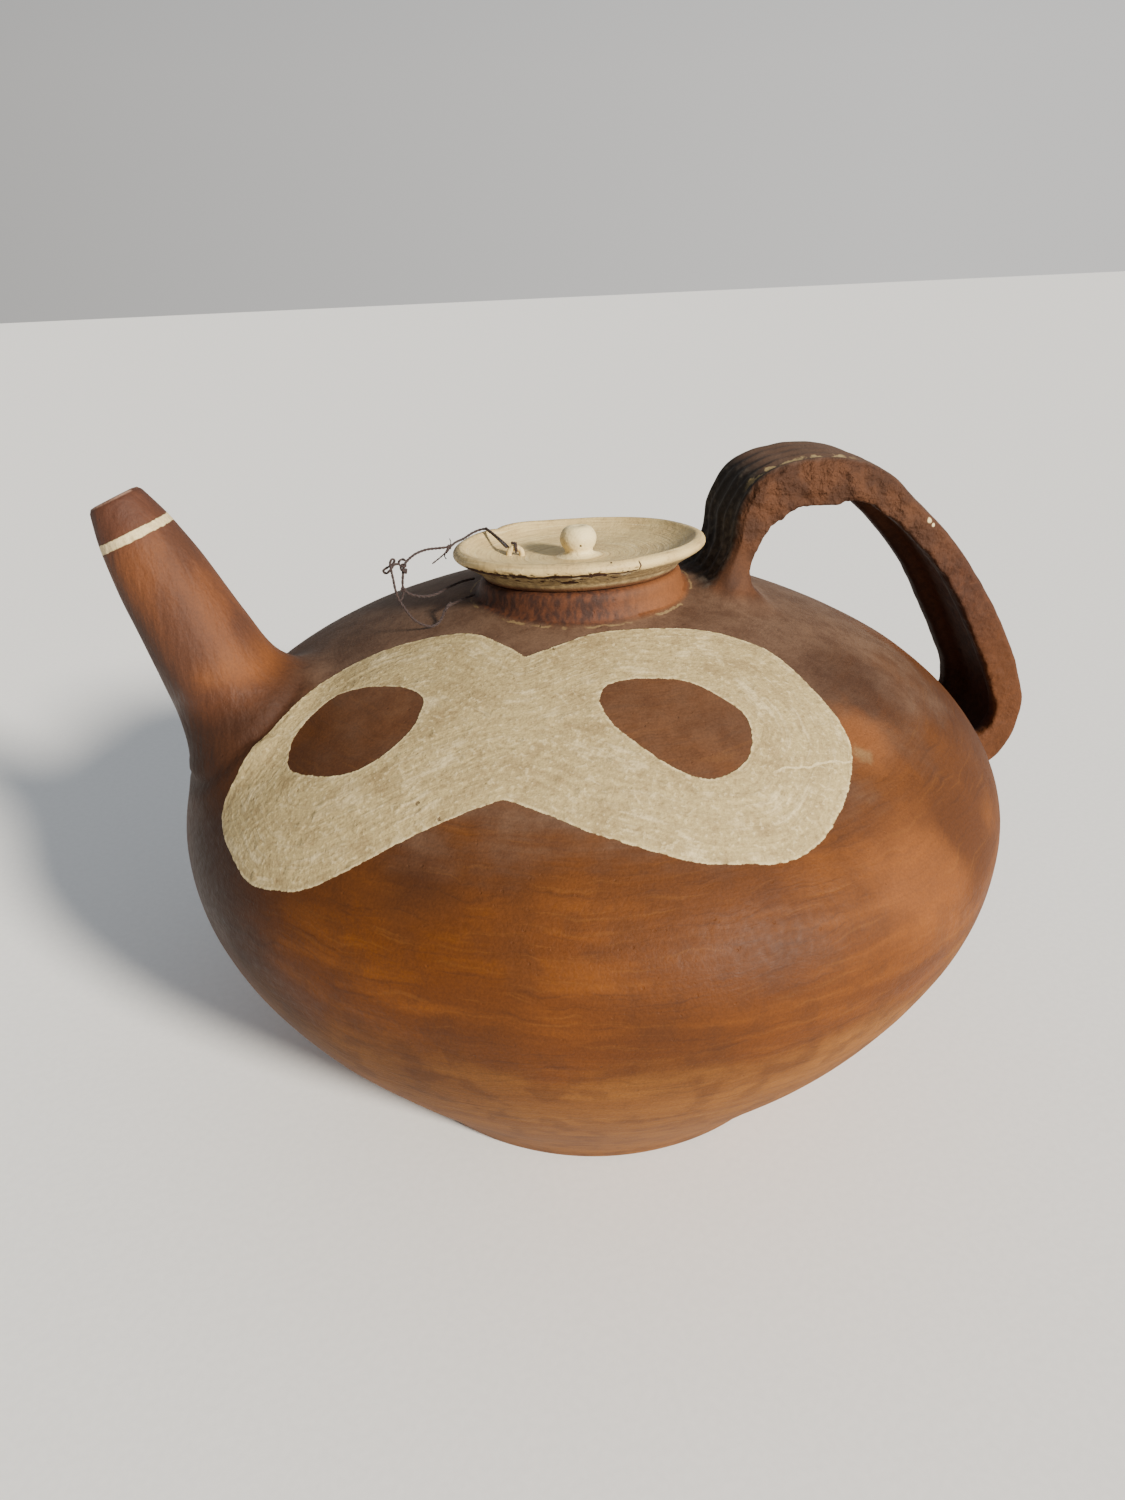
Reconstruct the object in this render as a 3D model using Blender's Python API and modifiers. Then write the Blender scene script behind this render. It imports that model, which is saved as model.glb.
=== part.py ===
"""Earthenware pot: a round hollow body with a leaning tubular spout, a broad strap
handle, a loose dished lid, and a thin twine that ties the lid to the neck.

Metres, +Z up. The origin is at the centre of the flat underside. The handle stands
on +X, the spout on -X, and the pot is looked at from -Y.
"""
import math

import bmesh
import bpy
import numpy as np
from mathutils import Matrix, Vector

# Body, turned: half profile from the flat base to the neck
BASE_RADIUS = 0.1170            # flat underside
FOOT_ROUND = 0.0118             # from the flat out to where the wall begins
FOOT_HEIGHT = 0.0040
BELLY_RADIUS = 0.2203           # widest radius
BELLY_HEIGHT = 0.1680
NECK_HEIGHT = 0.2822            # where the shoulder meets the collar
FOOT_FLARE = math.radians(59.5)      # slope of the wall where it leaves the foot
SHOULDER_SLOPE = math.radians(12.2)  # slope of the shoulder at the neck
FOOT_PULL = 0.0581              # how far each end of the two curves holds its direction
LOWER_BELLY_PULL = 0.0601
UPPER_BELLY_PULL = 0.0574
SHOULDER_PULL = 0.0838
WALL = 0.0090
FLOOR = 0.0110

# Neck: a low collar that leans with its lid, higher at the front
NECK_LEAN = math.radians(5.6)
NECK_RAISED_SIDE = math.radians(-82.0)
NECK_SHIFT = (-0.0033, -0.0016)
MOUTH_RADIUS = 0.0460
COLLAR_WALL = 0.0060
COLLAR_HEIGHT = 0.0085          # collar's top above the shoulder, on its own axis
COLLAR_SINK = 0.0200            # how deep the collar runs into the shoulder
SHOULDER_TUCK = 0.0020          # how far the shoulder runs in under the collar

# Lid: a dish with a rolled lip, a round knob and a small pierced lug
LID_OVERHANG = 0.0127           # from the collar out to the edge of the lip
LID_CREST_WIDTH = 0.0044        # from the top of the lip out to its edge
LID_SEAT_DEPTH = 0.0158         # from the crest down to the ring that rests on the collar
LID_DISH_DEPTH = 0.0088
LID_STOPPER_DEPTH = 0.0052
LID_STOPPER_CLEARANCE = 0.0025
SEAT_GAP = 0.0004
KNOB_RADIUS = 0.0093
KNOB_HEIGHT = 0.0153
LUG_PLACE = (-0.0310, 0.0125)   # on the dish floor
LUG_RADIUS = 0.0034
LUG_THICKNESS = 0.0030

# Spout: a slender leaning cone
SPOUT_LENGTH = 0.1280           # along its axis, from the mouth to the root in the wall
SPOUT_LEAN = math.radians(22.9)
SPOUT_HEADING = math.radians(159.7)  # the way its top leans
SPOUT_ROOT_AZIMUTH = math.radians(182.7)
SPOUT_ROOT_DROP = 0.0564        # below the neck
SPOUT_ROOT_SINK = 0.0099        # inside the outer face of the body
SPOUT_MOUTH_RADIUS = 0.0125
SPOUT_ROOT_RADIUS = 0.0350
SPOUT_BORE_AT_MOUTH = 0.0085
SPOUT_WALL = 0.0060

# Handle: a broad strap that rises beside the neck and comes down on the belly
HANDLE_STANDOFF = 0.0200        # from the collar to where the inner leg leaves the shoulder
HANDLE_FOOT_HEIGHT = 0.1580
HANDLE_FOOT_SINK = 0.0110       # inside the outer face of the body
HANDLE_FRONT = -0.0270          # the strap's front edge
HANDLE_BACK = 0.0245            # its back edge at the inner leg
HANDLE_BACK_SPREAD = 0.0105     # how much farther back the outer leg reaches
HANDLE_CROWN = 0.0015           # how much its outer face bulges at the inner leg
HANDLE_FOOT_CROWN = 0.0040      # and on the outer leg
HANDLE_FLANGE = 0.0090          # the rim on each side of the channel under the strap
HANDLE_CHANNEL = 0.0075         # the channel's depth on the outer leg

# Twine
TWINE_RADIUS = 0.00065
BRANCH_RADIUS = 0.0006

# How finely the round shapes are cut
BODY_STEPS = 48
CURVE_STEPS = 10
SPOUT_STEPS = 28
LID_STEPS = 38
HANDLE_SECTIONS = 27

MERGE = 0.00001

# What follows from the sizes above
FOOT_RADIUS = BASE_RADIUS + FOOT_ROUND
COLLAR_RADIUS = MOUTH_RADIUS + COLLAR_WALL
NECK_RADIUS = COLLAR_RADIUS - SHOULDER_TUCK
LID_RADIUS = COLLAR_RADIUS + LID_OVERHANG
HANDLE_NEAR_X = COLLAR_RADIUS + HANDLE_STANDOFF

# The strap's centre line as (share from the inner leg to the foot, share of the height
# from the foot to the neck, thickness in metres), inner leg first
HANDLE_STATIONS = [
    (0.000, 0.825, 0.0140), (0.007, 0.950, 0.0125), (0.021, 1.063, 0.0110),
    (0.050, 1.167, 0.0110), (0.082, 1.288, 0.0150), (0.162, 1.365, 0.0200),
    (0.336, 1.389, 0.0210), (0.539, 1.357, 0.0160), (0.714, 1.216, 0.0130),
    (0.902, 1.014, 0.0135), (1.055, 0.789, 0.0155), (1.197, 0.531, 0.0170),
    (1.285, 0.314, 0.0170), (1.290, 0.175, 0.0170), (1.225, 0.055, 0.0210),
    (1.100, 0.010, 0.0240), (1.000, 0.000, 0.0260),
]

# The twine's routes, in metres
TWINE_ROUTE = [
    (-0.0386, 0.0142, 0.3014), (-0.0405, 0.0270, 0.3023), (-0.0428, 0.0375, 0.3034),
    (-0.0450, 0.0444, 0.3038), (-0.0510, 0.0438, 0.3027), (-0.0573, 0.0390, 0.3011),
    (-0.0628, 0.0300, 0.3020), (-0.0673, 0.0205, 0.3028), (-0.0728, 0.0170, 0.3034),
    (-0.0800, 0.0120, 0.3047), (-0.0862, 0.0060, 0.3049), (-0.0910, 0.0000, 0.3038),
    (-0.0935, -0.0040, 0.3021), (-0.0946, -0.0060, 0.2982), (-0.0953, -0.0070, 0.2940),
    (-0.0949, -0.0080, 0.2912), (-0.0917, -0.0080, 0.2885), (-0.0854, -0.0080, 0.2868),
    (-0.0792, -0.0070, 0.2871), (-0.0722, -0.0050, 0.2894), (-0.0649, -0.0010, 0.2903),
    (-0.0580, 0.0040, 0.2896),
]
BRANCH_ROUTE = [
    (-0.0966, -0.0081, 0.3046), (-0.0984, -0.0090, 0.3048), (-0.1006, -0.0100, 0.3029),
    (-0.1027, -0.0102, 0.3011), (-0.1043, -0.0112, 0.3029), (-0.1018, -0.0120, 0.3048),
    (-0.0997, -0.0122, 0.3060), (-0.0984, -0.0127, 0.3079), (-0.0996, -0.0136, 0.3091),
    (-0.1008, -0.0142, 0.3071), (-0.1006, -0.0145, 0.3043), (-0.1001, -0.0152, 0.2995),
    (-0.0998, -0.0170, 0.2956), (-0.0989, -0.0190, 0.2911), (-0.0970, -0.0205, 0.2873),
    (-0.0928, -0.0210, 0.2803), (-0.0872, -0.0197, 0.2758), (-0.0833, -0.0187, 0.2747),
    (-0.0799, -0.0170, 0.2757), (-0.0776, -0.0145, 0.2777), (-0.0759, -0.0110, 0.2797),
    (-0.0725, -0.0080, 0.2810), (-0.0680, -0.0055, 0.2817), (-0.0634, -0.0035, 0.2824),
    (-0.0590, -0.0024, 0.2832),
]


def clear_scene():
    for item in list(bpy.data.objects):
        bpy.data.objects.remove(item, do_unlink=True)


def new_collection(name):
    collection = bpy.data.collections.new(name)
    bpy.context.scene.collection.children.link(collection)
    return collection


def clay(name, colour, roughness):
    material = bpy.data.materials.new(name)
    material.use_nodes = True
    shader = material.node_tree.nodes["Principled BSDF"]
    shader.inputs["Base Color"].default_value = (*colour, 1.0)
    shader.inputs["Roughness"].default_value = roughness
    shader.inputs["Metallic"].default_value = 0.0
    return material


def bezier(start, hold_start, hold_end, end, steps):
    """Points of a cubic curve, both ends included."""
    ends = np.array([start, hold_start, hold_end, end])
    t = np.linspace(0.0, 1.0, steps + 1)[:, None]
    weights = np.hstack([(1 - t) ** 3, 3 * (1 - t) ** 2 * t, 3 * (1 - t) * t ** 2, t ** 3])
    return weights @ ends


def smooth_curve(points, count):
    """Evenly spaced points on a Catmull-Rom curve through the given points."""
    given = np.array(points, dtype=float)
    padded = np.vstack([2 * given[0] - given[1], given, 2 * given[-1] - given[-2]])
    dense = []
    for i in range(1, len(padded) - 2):
        before, start, end, after = padded[i - 1:i + 3]
        for t in np.linspace(0.0, 1.0, 12, endpoint=False):
            dense.append(0.5 * (2 * start + (end - before) * t
                                + (2 * before - 5 * start + 4 * end - after) * t ** 2
                                + (3 * start - before - 3 * end + after) * t ** 3))
    dense.append(given[-1])
    dense = np.array(dense)
    along = np.concatenate([[0.0], np.cumsum(np.linalg.norm(np.diff(dense[:, :3], axis=0), axis=1))])
    wanted = np.linspace(0.0, along[-1], count)
    return np.stack([np.interp(wanted, along, dense[:, k]) for k in range(dense.shape[1])], axis=1)


def body_wall():
    """Outer face of the body as (radius, height), from the foot up to the neck."""
    foot = (FOOT_RADIUS, FOOT_HEIGHT)
    foot_hold = (FOOT_RADIUS + FOOT_PULL * math.cos(FOOT_FLARE),
                 FOOT_HEIGHT + FOOT_PULL * math.sin(FOOT_FLARE))
    belly = (BELLY_RADIUS, BELLY_HEIGHT)
    belly_below = (BELLY_RADIUS, BELLY_HEIGHT - LOWER_BELLY_PULL)
    belly_above = (BELLY_RADIUS, BELLY_HEIGHT + UPPER_BELLY_PULL)
    neck = (NECK_RADIUS, NECK_HEIGHT)
    neck_hold = (NECK_RADIUS + SHOULDER_PULL * math.cos(SHOULDER_SLOPE),
                 NECK_HEIGHT - SHOULDER_PULL * math.sin(SHOULDER_SLOPE))
    lower = bezier(foot, foot_hold, belly_below, belly, CURVE_STEPS)
    upper = bezier(belly, belly_above, neck_hold, neck, CURVE_STEPS)
    return np.vstack([lower, upper[1:]])


def inset(profile, distance):
    """The profile moved inwards by a distance, square to itself."""
    along = np.gradient(profile, axis=0)
    along /= np.linalg.norm(along, axis=1)[:, None]
    outwards = np.stack([along[:, 1], -along[:, 0]], axis=1)
    return profile - outwards * distance


def body_radius_at(height):
    wall = body_wall()
    return float(np.interp(height, wall[:, 1], wall[:, 0]))


def turned(name, profile, steps, collection, material=None):
    """A solid of revolution about its own Z axis; the profile runs from top to bottom."""
    mesh = bpy.data.meshes.new(name)
    vertices = [(float(r), 0.0, float(z)) for r, z in profile]
    mesh.from_pydata(vertices, [(i, i + 1) for i in range(len(vertices) - 1)], [])
    item = bpy.data.objects.new(name, mesh)
    collection.objects.link(item)
    screw = item.modifiers.new("Turn", "SCREW")
    screw.axis = "Z"
    screw.steps = steps
    screw.render_steps = steps
    screw.use_merge_vertices = True
    screw.merge_threshold = MERGE
    screw.use_smooth_shade = True
    if material:
        mesh.materials.append(material)
    return item


def combine(target, other, operation):
    """Join or cut with another solid, which becomes a guide that isn't drawn."""
    modifier = target.modifiers.new(other.name, "BOOLEAN")
    modifier.operation = operation
    modifier.solver = "EXACT"
    modifier.object = other
    other.hide_render = True
    other.display_type = "WIRE"


def neck_seat(collection):
    """An empty at the centre of the collar's top, leaning with the neck."""
    seat = bpy.data.objects.new("neck_seat", None)
    collection.objects.link(seat)
    tilt_axis = Vector((math.sin(NECK_RAISED_SIDE), -math.cos(NECK_RAISED_SIDE), 0.0))
    seat.location = (*NECK_SHIFT, NECK_HEIGHT + COLLAR_HEIGHT)
    seat.rotation_euler = Matrix.Rotation(NECK_LEAN, 3, tilt_axis).to_euler()
    return seat


def collar_solid(seat, guides):
    edge = 0.0030
    profile = [(0.0, 0.0), (COLLAR_RADIUS - edge, 0.0), (COLLAR_RADIUS - edge * 0.3, -edge * 0.3),
               (COLLAR_RADIUS, -edge), (COLLAR_RADIUS, -COLLAR_SINK), (0.0, -COLLAR_SINK)]
    collar = turned("collar", profile, BODY_STEPS, guides)
    collar.parent = seat
    return collar


def mouth_cutter(seat, guides):
    """The neck's bore, with its upper edge eased."""
    ease = 0.0015
    above = 0.0060
    profile = [(0.0, above), (MOUTH_RADIUS + ease, above), (MOUTH_RADIUS + ease, 0.0), (MOUTH_RADIUS, -ease),
               (MOUTH_RADIUS, -COLLAR_SINK - WALL), (0.0, -COLLAR_SINK - WALL)]
    bore = turned("neck_bore", profile, BODY_STEPS, guides)
    bore.parent = seat
    return bore


def spout_frame():
    """Mouth centre and the matrix that stands a turned shape on the spout's axis."""
    root_height = NECK_HEIGHT - SPOUT_ROOT_DROP
    root_radius = body_radius_at(root_height) - SPOUT_ROOT_SINK
    root = Vector((root_radius * math.cos(SPOUT_ROOT_AZIMUTH),
                   root_radius * math.sin(SPOUT_ROOT_AZIMUTH), root_height))
    axis = Vector((math.sin(SPOUT_LEAN) * math.cos(SPOUT_HEADING),
                   math.sin(SPOUT_LEAN) * math.sin(SPOUT_HEADING), math.cos(SPOUT_LEAN)))
    return root + axis * SPOUT_LENGTH, axis


def spout_radius(distance):
    """Outer radius of the spout at a distance from its mouth."""
    shares = [0.0, 0.125, 0.3125, 0.523, 0.78, 0.92, 1.0]
    swell = [0.0, 0.22, 0.41, 0.535, 0.69, 0.83, 1.0]
    grown = float(np.interp(distance / SPOUT_LENGTH, shares, swell))
    return SPOUT_MOUTH_RADIUS + grown * (SPOUT_ROOT_RADIUS - SPOUT_MOUTH_RADIUS)


def spout_solids(guides):
    mouth, axis = spout_frame()
    lip = 0.0015
    below = 0.0120
    stops = [SPOUT_LENGTH * share for share in (0.0234, 0.125, 0.3125, 0.523, 0.727, 0.883)]
    profile = [(0.0, 0.0), (SPOUT_MOUTH_RADIUS - lip, 0.0), (SPOUT_MOUTH_RADIUS, -lip)]
    profile += [(spout_radius(stop), -stop) for stop in stops]
    profile += [(SPOUT_ROOT_RADIUS, -SPOUT_LENGTH), (SPOUT_ROOT_RADIUS - 0.0010, -SPOUT_LENGTH - below),
                (SPOUT_ROOT_RADIUS * 0.7, -SPOUT_LENGTH - 2 * below), (0.0, -SPOUT_LENGTH - 2.5 * below)]
    spout = turned("spout", profile, SPOUT_STEPS, guides)
    bore_stops = stops[1:5]
    bore_end = SPOUT_LENGTH + 0.0070
    bore_root = spout_radius(bore_stops[-1]) - SPOUT_WALL
    bore_profile = [(0.0, 0.0060), (SPOUT_BORE_AT_MOUTH, 0.0060), (SPOUT_BORE_AT_MOUTH, 0.0)]
    bore_profile += [(spout_radius(stop) - SPOUT_WALL, -stop) for stop in bore_stops]
    bore_profile += [(bore_root, -bore_end), (0.0, -bore_end)]
    bore = turned("spout_bore", bore_profile, SPOUT_STEPS, guides)
    for item in (spout, bore):
        item.location = mouth
        item.rotation_euler = axis.to_track_quat("Z", "Y").to_euler()
    return spout, bore


def strap_section(thickness, back, crown, channel):
    """Half-round outside, channelled inside: (across, outwards) round the strap."""
    half = thickness / 2
    ease = min(0.0022, half * 0.4)
    width = back - HANDLE_FRONT
    inner = -half
    floor = inner + channel
    slope = 0.0030
    return [
        (HANDLE_FRONT, inner + ease), (HANDLE_FRONT + ease, inner),
        (HANDLE_FRONT + HANDLE_FLANGE, inner), (HANDLE_FRONT + HANDLE_FLANGE + slope, floor),
        (back - HANDLE_FLANGE - slope, floor), (back - HANDLE_FLANGE, inner),
        (back - ease, inner), (back, inner + ease),
        (back, half - ease), (back - width * 0.14, half + crown * 0.60),
        (back - width * 0.36, half + crown), (HANDLE_FRONT + width * 0.36, half + crown),
        (HANDLE_FRONT + width * 0.14, half + crown * 0.60), (HANDLE_FRONT, half - ease),
    ]


def handle_solid(guides):
    """A loft of channelled sections that follows the strap's centre line."""
    foot_x = body_radius_at(HANDLE_FOOT_HEIGHT) - HANDLE_FOOT_SINK
    reach = foot_x - HANDLE_NEAR_X
    rise = NECK_HEIGHT - HANDLE_FOOT_HEIGHT
    centres = [(HANDLE_NEAR_X + across * reach, 0.0, HANDLE_FOOT_HEIGHT + up * rise, thickness)
               for across, up, thickness in HANDLE_STATIONS]
    line = smooth_curve(centres, HANDLE_SECTIONS)
    tangents = np.gradient(line[:, [0, 2]], axis=0)
    tangents /= np.linalg.norm(tangents, axis=1)[:, None]
    shape = bmesh.new()
    rings = []
    for (x, _, z, thickness), (tx, tz) in zip(line, tangents):
        share = min(max((x - HANDLE_NEAR_X) / reach, 0.0), 1.0)
        spread = share * share * (3 - 2 * share)
        back = HANDLE_BACK + HANDLE_BACK_SPREAD * spread
        crown = HANDLE_CROWN + (HANDLE_FOOT_CROWN - HANDLE_CROWN) * spread
        section = strap_section(thickness, back, crown, HANDLE_CHANNEL * spread)
        rings.append([shape.verts.new((x - tz * out, across, z + tx * out)) for across, out in section])
    for ring, following in zip(rings, rings[1:]):
        for i in range(len(ring)):
            j = (i + 1) % len(ring)
            shape.faces.new((ring[i], ring[j], following[j], following[i]))
    shape.faces.new(rings[0][::-1])
    shape.faces.new(rings[-1])
    bmesh.ops.recalc_face_normals(shape, faces=shape.faces)
    mesh = bpy.data.meshes.new("handle")
    shape.to_mesh(mesh)
    shape.free()
    mesh.shade_smooth()
    handle = bpy.data.objects.new("handle", mesh)
    guides.objects.link(handle)
    return handle


def pot_body(parts, guides, seat):
    wall = body_wall()
    foot_turn = (BASE_RADIUS + 0.62 * (FOOT_RADIUS - BASE_RADIUS), 0.18 * FOOT_HEIGHT)
    base_edge = [foot_turn, (BASE_RADIUS, 0.0), (0.0, 0.0)]
    outside = [(0.0, NECK_HEIGHT)] + [tuple(p) for p in wall[::-1]] + base_edge
    body = turned("pot_body", outside, BODY_STEPS, parts, clay("burnished_clay", (0.235, 0.135, 0.078), 0.55))
    inner = inset(wall, WALL)
    inner = inner[inner[:, 1] > FLOOR + 0.004]
    inside = [(0.0, inner[-1, 1])] + [tuple(p) for p in inner[::-1]]
    inside += [(inner[0, 0] - 0.0050, FLOOR), (0.0, FLOOR)]
    cavity = turned("cavity", inside, BODY_STEPS, guides)
    spout, spout_bore = spout_solids(guides)
    for solid in (collar_solid(seat, guides), spout, handle_solid(guides)):
        combine(body, solid, "UNION")
    for cutter in (cavity, mouth_cutter(seat, guides), spout_bore):
        combine(body, cutter, "DIFFERENCE")
    return body


def lid_profile():
    """(radius, height) of the lid from the knob's top round to the stopper, crest at zero."""
    crest = LID_RADIUS - LID_CREST_WIDTH
    knob_top = KNOB_HEIGHT - LID_DISH_DEPTH
    waist = KNOB_RADIUS * 0.78
    dish = -LID_DISH_DEPTH
    seat = -LID_SEAT_DEPTH
    stopper = MOUTH_RADIUS - LID_STOPPER_CLEARANCE
    bottom = seat - LID_STOPPER_DEPTH
    seat_out = COLLAR_RADIUS - 0.0025
    knob = [(0.0, knob_top - 0.0005), (KNOB_RADIUS * 0.48, knob_top),
            (KNOB_RADIUS * 0.81, knob_top - 0.0015), (KNOB_RADIUS, knob_top - 0.0050),
            (KNOB_RADIUS, knob_top - 0.0075), (KNOB_RADIUS * 0.90, knob_top - 0.0100),
            (waist, knob_top - 0.0117), (waist * 1.06, knob_top - 0.0137)]
    hollow = [(KNOB_RADIUS * 1.5, dish), (crest * 0.42, dish + 0.0004), (crest * 0.66, dish + 0.0016),
              (crest * 0.83, dish + 0.0038), (crest * 0.945, dish + 0.0068)]
    lip = [(crest, 0.0), (LID_RADIUS - 0.0018, -0.0006), (LID_RADIUS - 0.0004, -0.0018),
           (LID_RADIUS, -0.0032), (LID_RADIUS - 0.0008, -0.0049), (LID_RADIUS - 0.0035, -0.0068)]
    under = [(crest * 0.945, -0.0092), (COLLAR_RADIUS + 0.0005, seat + 0.0038), (seat_out, seat),
             (stopper + 0.0010, seat), (stopper, bottom + 0.0015), (stopper - 0.0020, bottom), (0.0, bottom)]
    return knob + hollow + lip + under


def lid(parts, guides, seat):
    plate = turned("lid", lid_profile(), LID_STEPS, parts, clay("cream_slip", (0.56, 0.45, 0.29), 0.75))
    plate.parent = seat
    plate.location = (0.0, 0.0, LID_SEAT_DEPTH + SEAT_GAP)
    bpy.ops.mesh.primitive_torus_add(major_radius=LUG_RADIUS, minor_radius=LUG_THICKNESS / 2,
                                     major_segments=16, minor_segments=8)
    lug = bpy.context.object
    lug.name = "lid_lug"
    for owner in list(lug.users_collection):
        owner.objects.unlink(lug)
    guides.objects.link(lug)
    lug.parent = plate
    lug.location = (*LUG_PLACE, -LID_DISH_DEPTH + 0.0008)
    lug.rotation_euler = (math.radians(90.0), 0.0, math.radians(-12.0))
    combine(plate, lug, "UNION")
    return plate


def twine(name, route, radius, parts, colour):
    """A thin round cord along a smooth curve through its route."""
    length = float(np.linalg.norm(np.diff(np.array(route), axis=0), axis=1).sum())
    count = int(length / (radius * 5.4)) + 2
    data = bpy.data.curves.new(name, "CURVE")
    data.dimensions = "3D"
    data.bevel_depth = radius
    data.bevel_resolution = 2
    data.use_fill_caps = True
    points = smooth_curve(route, count)
    spline = data.splines.new("POLY")
    spline.points.add(count - 1)
    for point, place in zip(spline.points, points):
        point.co = (*place, 1.0)
    data.materials.append(clay(name + "_fibre", colour, 0.85))
    cord = bpy.data.objects.new(name, data)
    parts.objects.link(cord)
    return cord


def main():
    clear_scene()
    parts = new_collection("earthenware_pot")
    guides = new_collection("cutters")
    seat = neck_seat(guides)
    pot_body(parts, guides, seat)
    lid(parts, guides, seat)
    twine("tether_main", TWINE_ROUTE, TWINE_RADIUS, parts, (0.075, 0.030, 0.022))
    twine("tether_branch", BRANCH_ROUTE, BRANCH_RADIUS, parts, (0.110, 0.045, 0.028))


main()
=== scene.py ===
"""Earthenware pot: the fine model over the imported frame.

A round burnished pot with a leaning tubular spout, a broad strap handle, a cream
painted figure-eight on its shoulder, and a dished lid tied on with twine.
Metres, +Z up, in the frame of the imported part.
"""
import math
from functools import reduce
from operator import mul

import bmesh
import bpy
import numpy as np
from mathutils import Matrix, Vector, noise
from mathutils.bvhtree import BVHTree
from mathutils.kdtree import KDTree


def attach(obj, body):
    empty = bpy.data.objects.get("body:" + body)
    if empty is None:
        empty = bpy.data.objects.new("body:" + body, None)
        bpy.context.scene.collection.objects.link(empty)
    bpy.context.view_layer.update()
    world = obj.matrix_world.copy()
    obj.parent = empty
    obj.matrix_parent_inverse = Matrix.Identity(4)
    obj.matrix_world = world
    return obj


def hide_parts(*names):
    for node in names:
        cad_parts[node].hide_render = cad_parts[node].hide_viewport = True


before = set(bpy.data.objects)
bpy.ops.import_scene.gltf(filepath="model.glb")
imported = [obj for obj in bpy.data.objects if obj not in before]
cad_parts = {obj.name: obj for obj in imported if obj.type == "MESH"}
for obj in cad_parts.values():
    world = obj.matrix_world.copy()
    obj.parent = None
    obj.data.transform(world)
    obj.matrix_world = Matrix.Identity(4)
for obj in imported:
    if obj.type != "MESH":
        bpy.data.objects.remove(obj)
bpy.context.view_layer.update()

MM = 0.001
TINY = 1e-12

# How finely shapes are worked: points handled at once, and gaps that are closed up
AT_ONCE = 4000
WELD = 0.00002
SEAM_WELD = 0.00008
SEAM_CORE = 0.002
SEAM_EDGE = 0.006
SEAM_EASE = 0.6
SEAM_ROUNDS = 5
FINEST_SIDE = math.radians(-95.0)

# Body, turned
BASE_RADIUS = 0.117
FOOT_RADIUS = 0.1288
FOOT_HEIGHT = 0.004
BELLY_RADIUS = 0.2203
BELLY_HEIGHT = 0.168
NECK_RADIUS = 0.05
NECK_HEIGHT = 0.2822
FOOT_FLARE = math.radians(59.5)
SHOULDER_SLOPE = math.radians(12.2)
FOOT_PULL = 0.0581
LOWER_BELLY_PULL = 0.0601
UPPER_BELLY_PULL = 0.0574
SHOULDER_PULL = 0.0838
WALL = 0.009
FLOOR = 0.011

# Neck and lid, on an axis that leans
NECK_LEAN = math.radians(5.6)
NECK_RAISED_SIDE = math.radians(-82.0)
NECK_SHIFT = (-0.0033, -0.0016)
COLLAR_HEIGHT = 0.0085
COLLAR_RADIUS = 0.052
MOUTH_RADIUS = 0.046
LID_SEAT_DEPTH = 0.0158
SEAT_GAP = 0.0004
LUG_PLACE = (-0.031, 0.0125)
LUG_HEIGHT = -0.0072
LUG_TURN = math.radians(-12.0)
LUG_RADIUS = 0.0034
LUG_HALF_THICKNESS = 0.0015
LID_TURN = math.radians(100.0)

# Spout, on its own leaning axis; its mouth and its radius at shares of its length
SPOUT_LENGTH = 0.128
SPOUT_MOUTH = Vector((-0.2229, 0.009, 0.3437))
SPOUT_AXIS = Vector((-0.3649, 0.135, 0.9212)).normalized()
SPOUT_MOUTH_RADIUS = 0.0125
SPOUT_ROOT_RADIUS = 0.035
SPOUT_SHARES = [0.0, 0.125, 0.3125, 0.523, 0.78, 0.92, 1.0]
SPOUT_SWELL = [0.0, 0.22, 0.41, 0.535, 0.69, 0.83, 1.0]
SPOUT_BORE_AT_MOUTH = 0.0085
SPOUT_WALL = 0.006
SPOUT_LEAN = 0.396
STRIPE_DEPTH = 0.01825
STRIPE_HALF_WIDTH = 0.0023

# Handle: centre line as (share across, share up, thickness), inner leg first
HANDLE_NEAR_X = 0.072
HANDLE_FOOT_X = 0.2083
HANDLE_FOOT_HEIGHT = 0.158
HANDLE_FRONT = -0.027
HANDLE_BACK = 0.0245
HANDLE_BACK_SPREAD = 0.0105
HANDLE_FLANGE = 0.009
HANDLE_CHANNEL = 0.0075
CHANNEL_SLOPE = 0.003
STRAP_RAGGED_EDGE = 0.0011
STRAP_RAGGED_FLANGE = 0.0012
STRAP_SIDE_STEPS = (6, 3, 11, 3, 6, 9)
STRAP_CROWN_STEPS = 40
STRAP_FRONT_STEPS = 13
HANDLE_STATIONS = [
    (0.000, 0.825, 0.0140), (0.007, 0.950, 0.0125), (0.021, 1.063, 0.0110),
    (0.050, 1.167, 0.0110), (0.082, 1.288, 0.0150), (0.162, 1.365, 0.0200),
    (0.336, 1.389, 0.0210), (0.539, 1.357, 0.0160), (0.714, 1.216, 0.0130),
    (0.902, 1.014, 0.0135), (1.055, 0.789, 0.0155), (1.197, 0.531, 0.0170),
    (1.285, 0.314, 0.0170), (1.290, 0.175, 0.0170), (1.225, 0.055, 0.0210),
    (1.100, 0.010, 0.0240), (1.000, 0.000, 0.0260),
]

# Where walls meet: how near the other wall draws each one out, and the lowest points to look at
SPOUT_FILLET = 0.03
HANDLE_FILLET = 0.024
COLLAR_FILLET = 0.006
HANDLE_LOWEST = 0.12
NECK_LOWEST = 0.26
SEAT_LOWEST = 0.276
SEAT_REACH = 0.066

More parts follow.
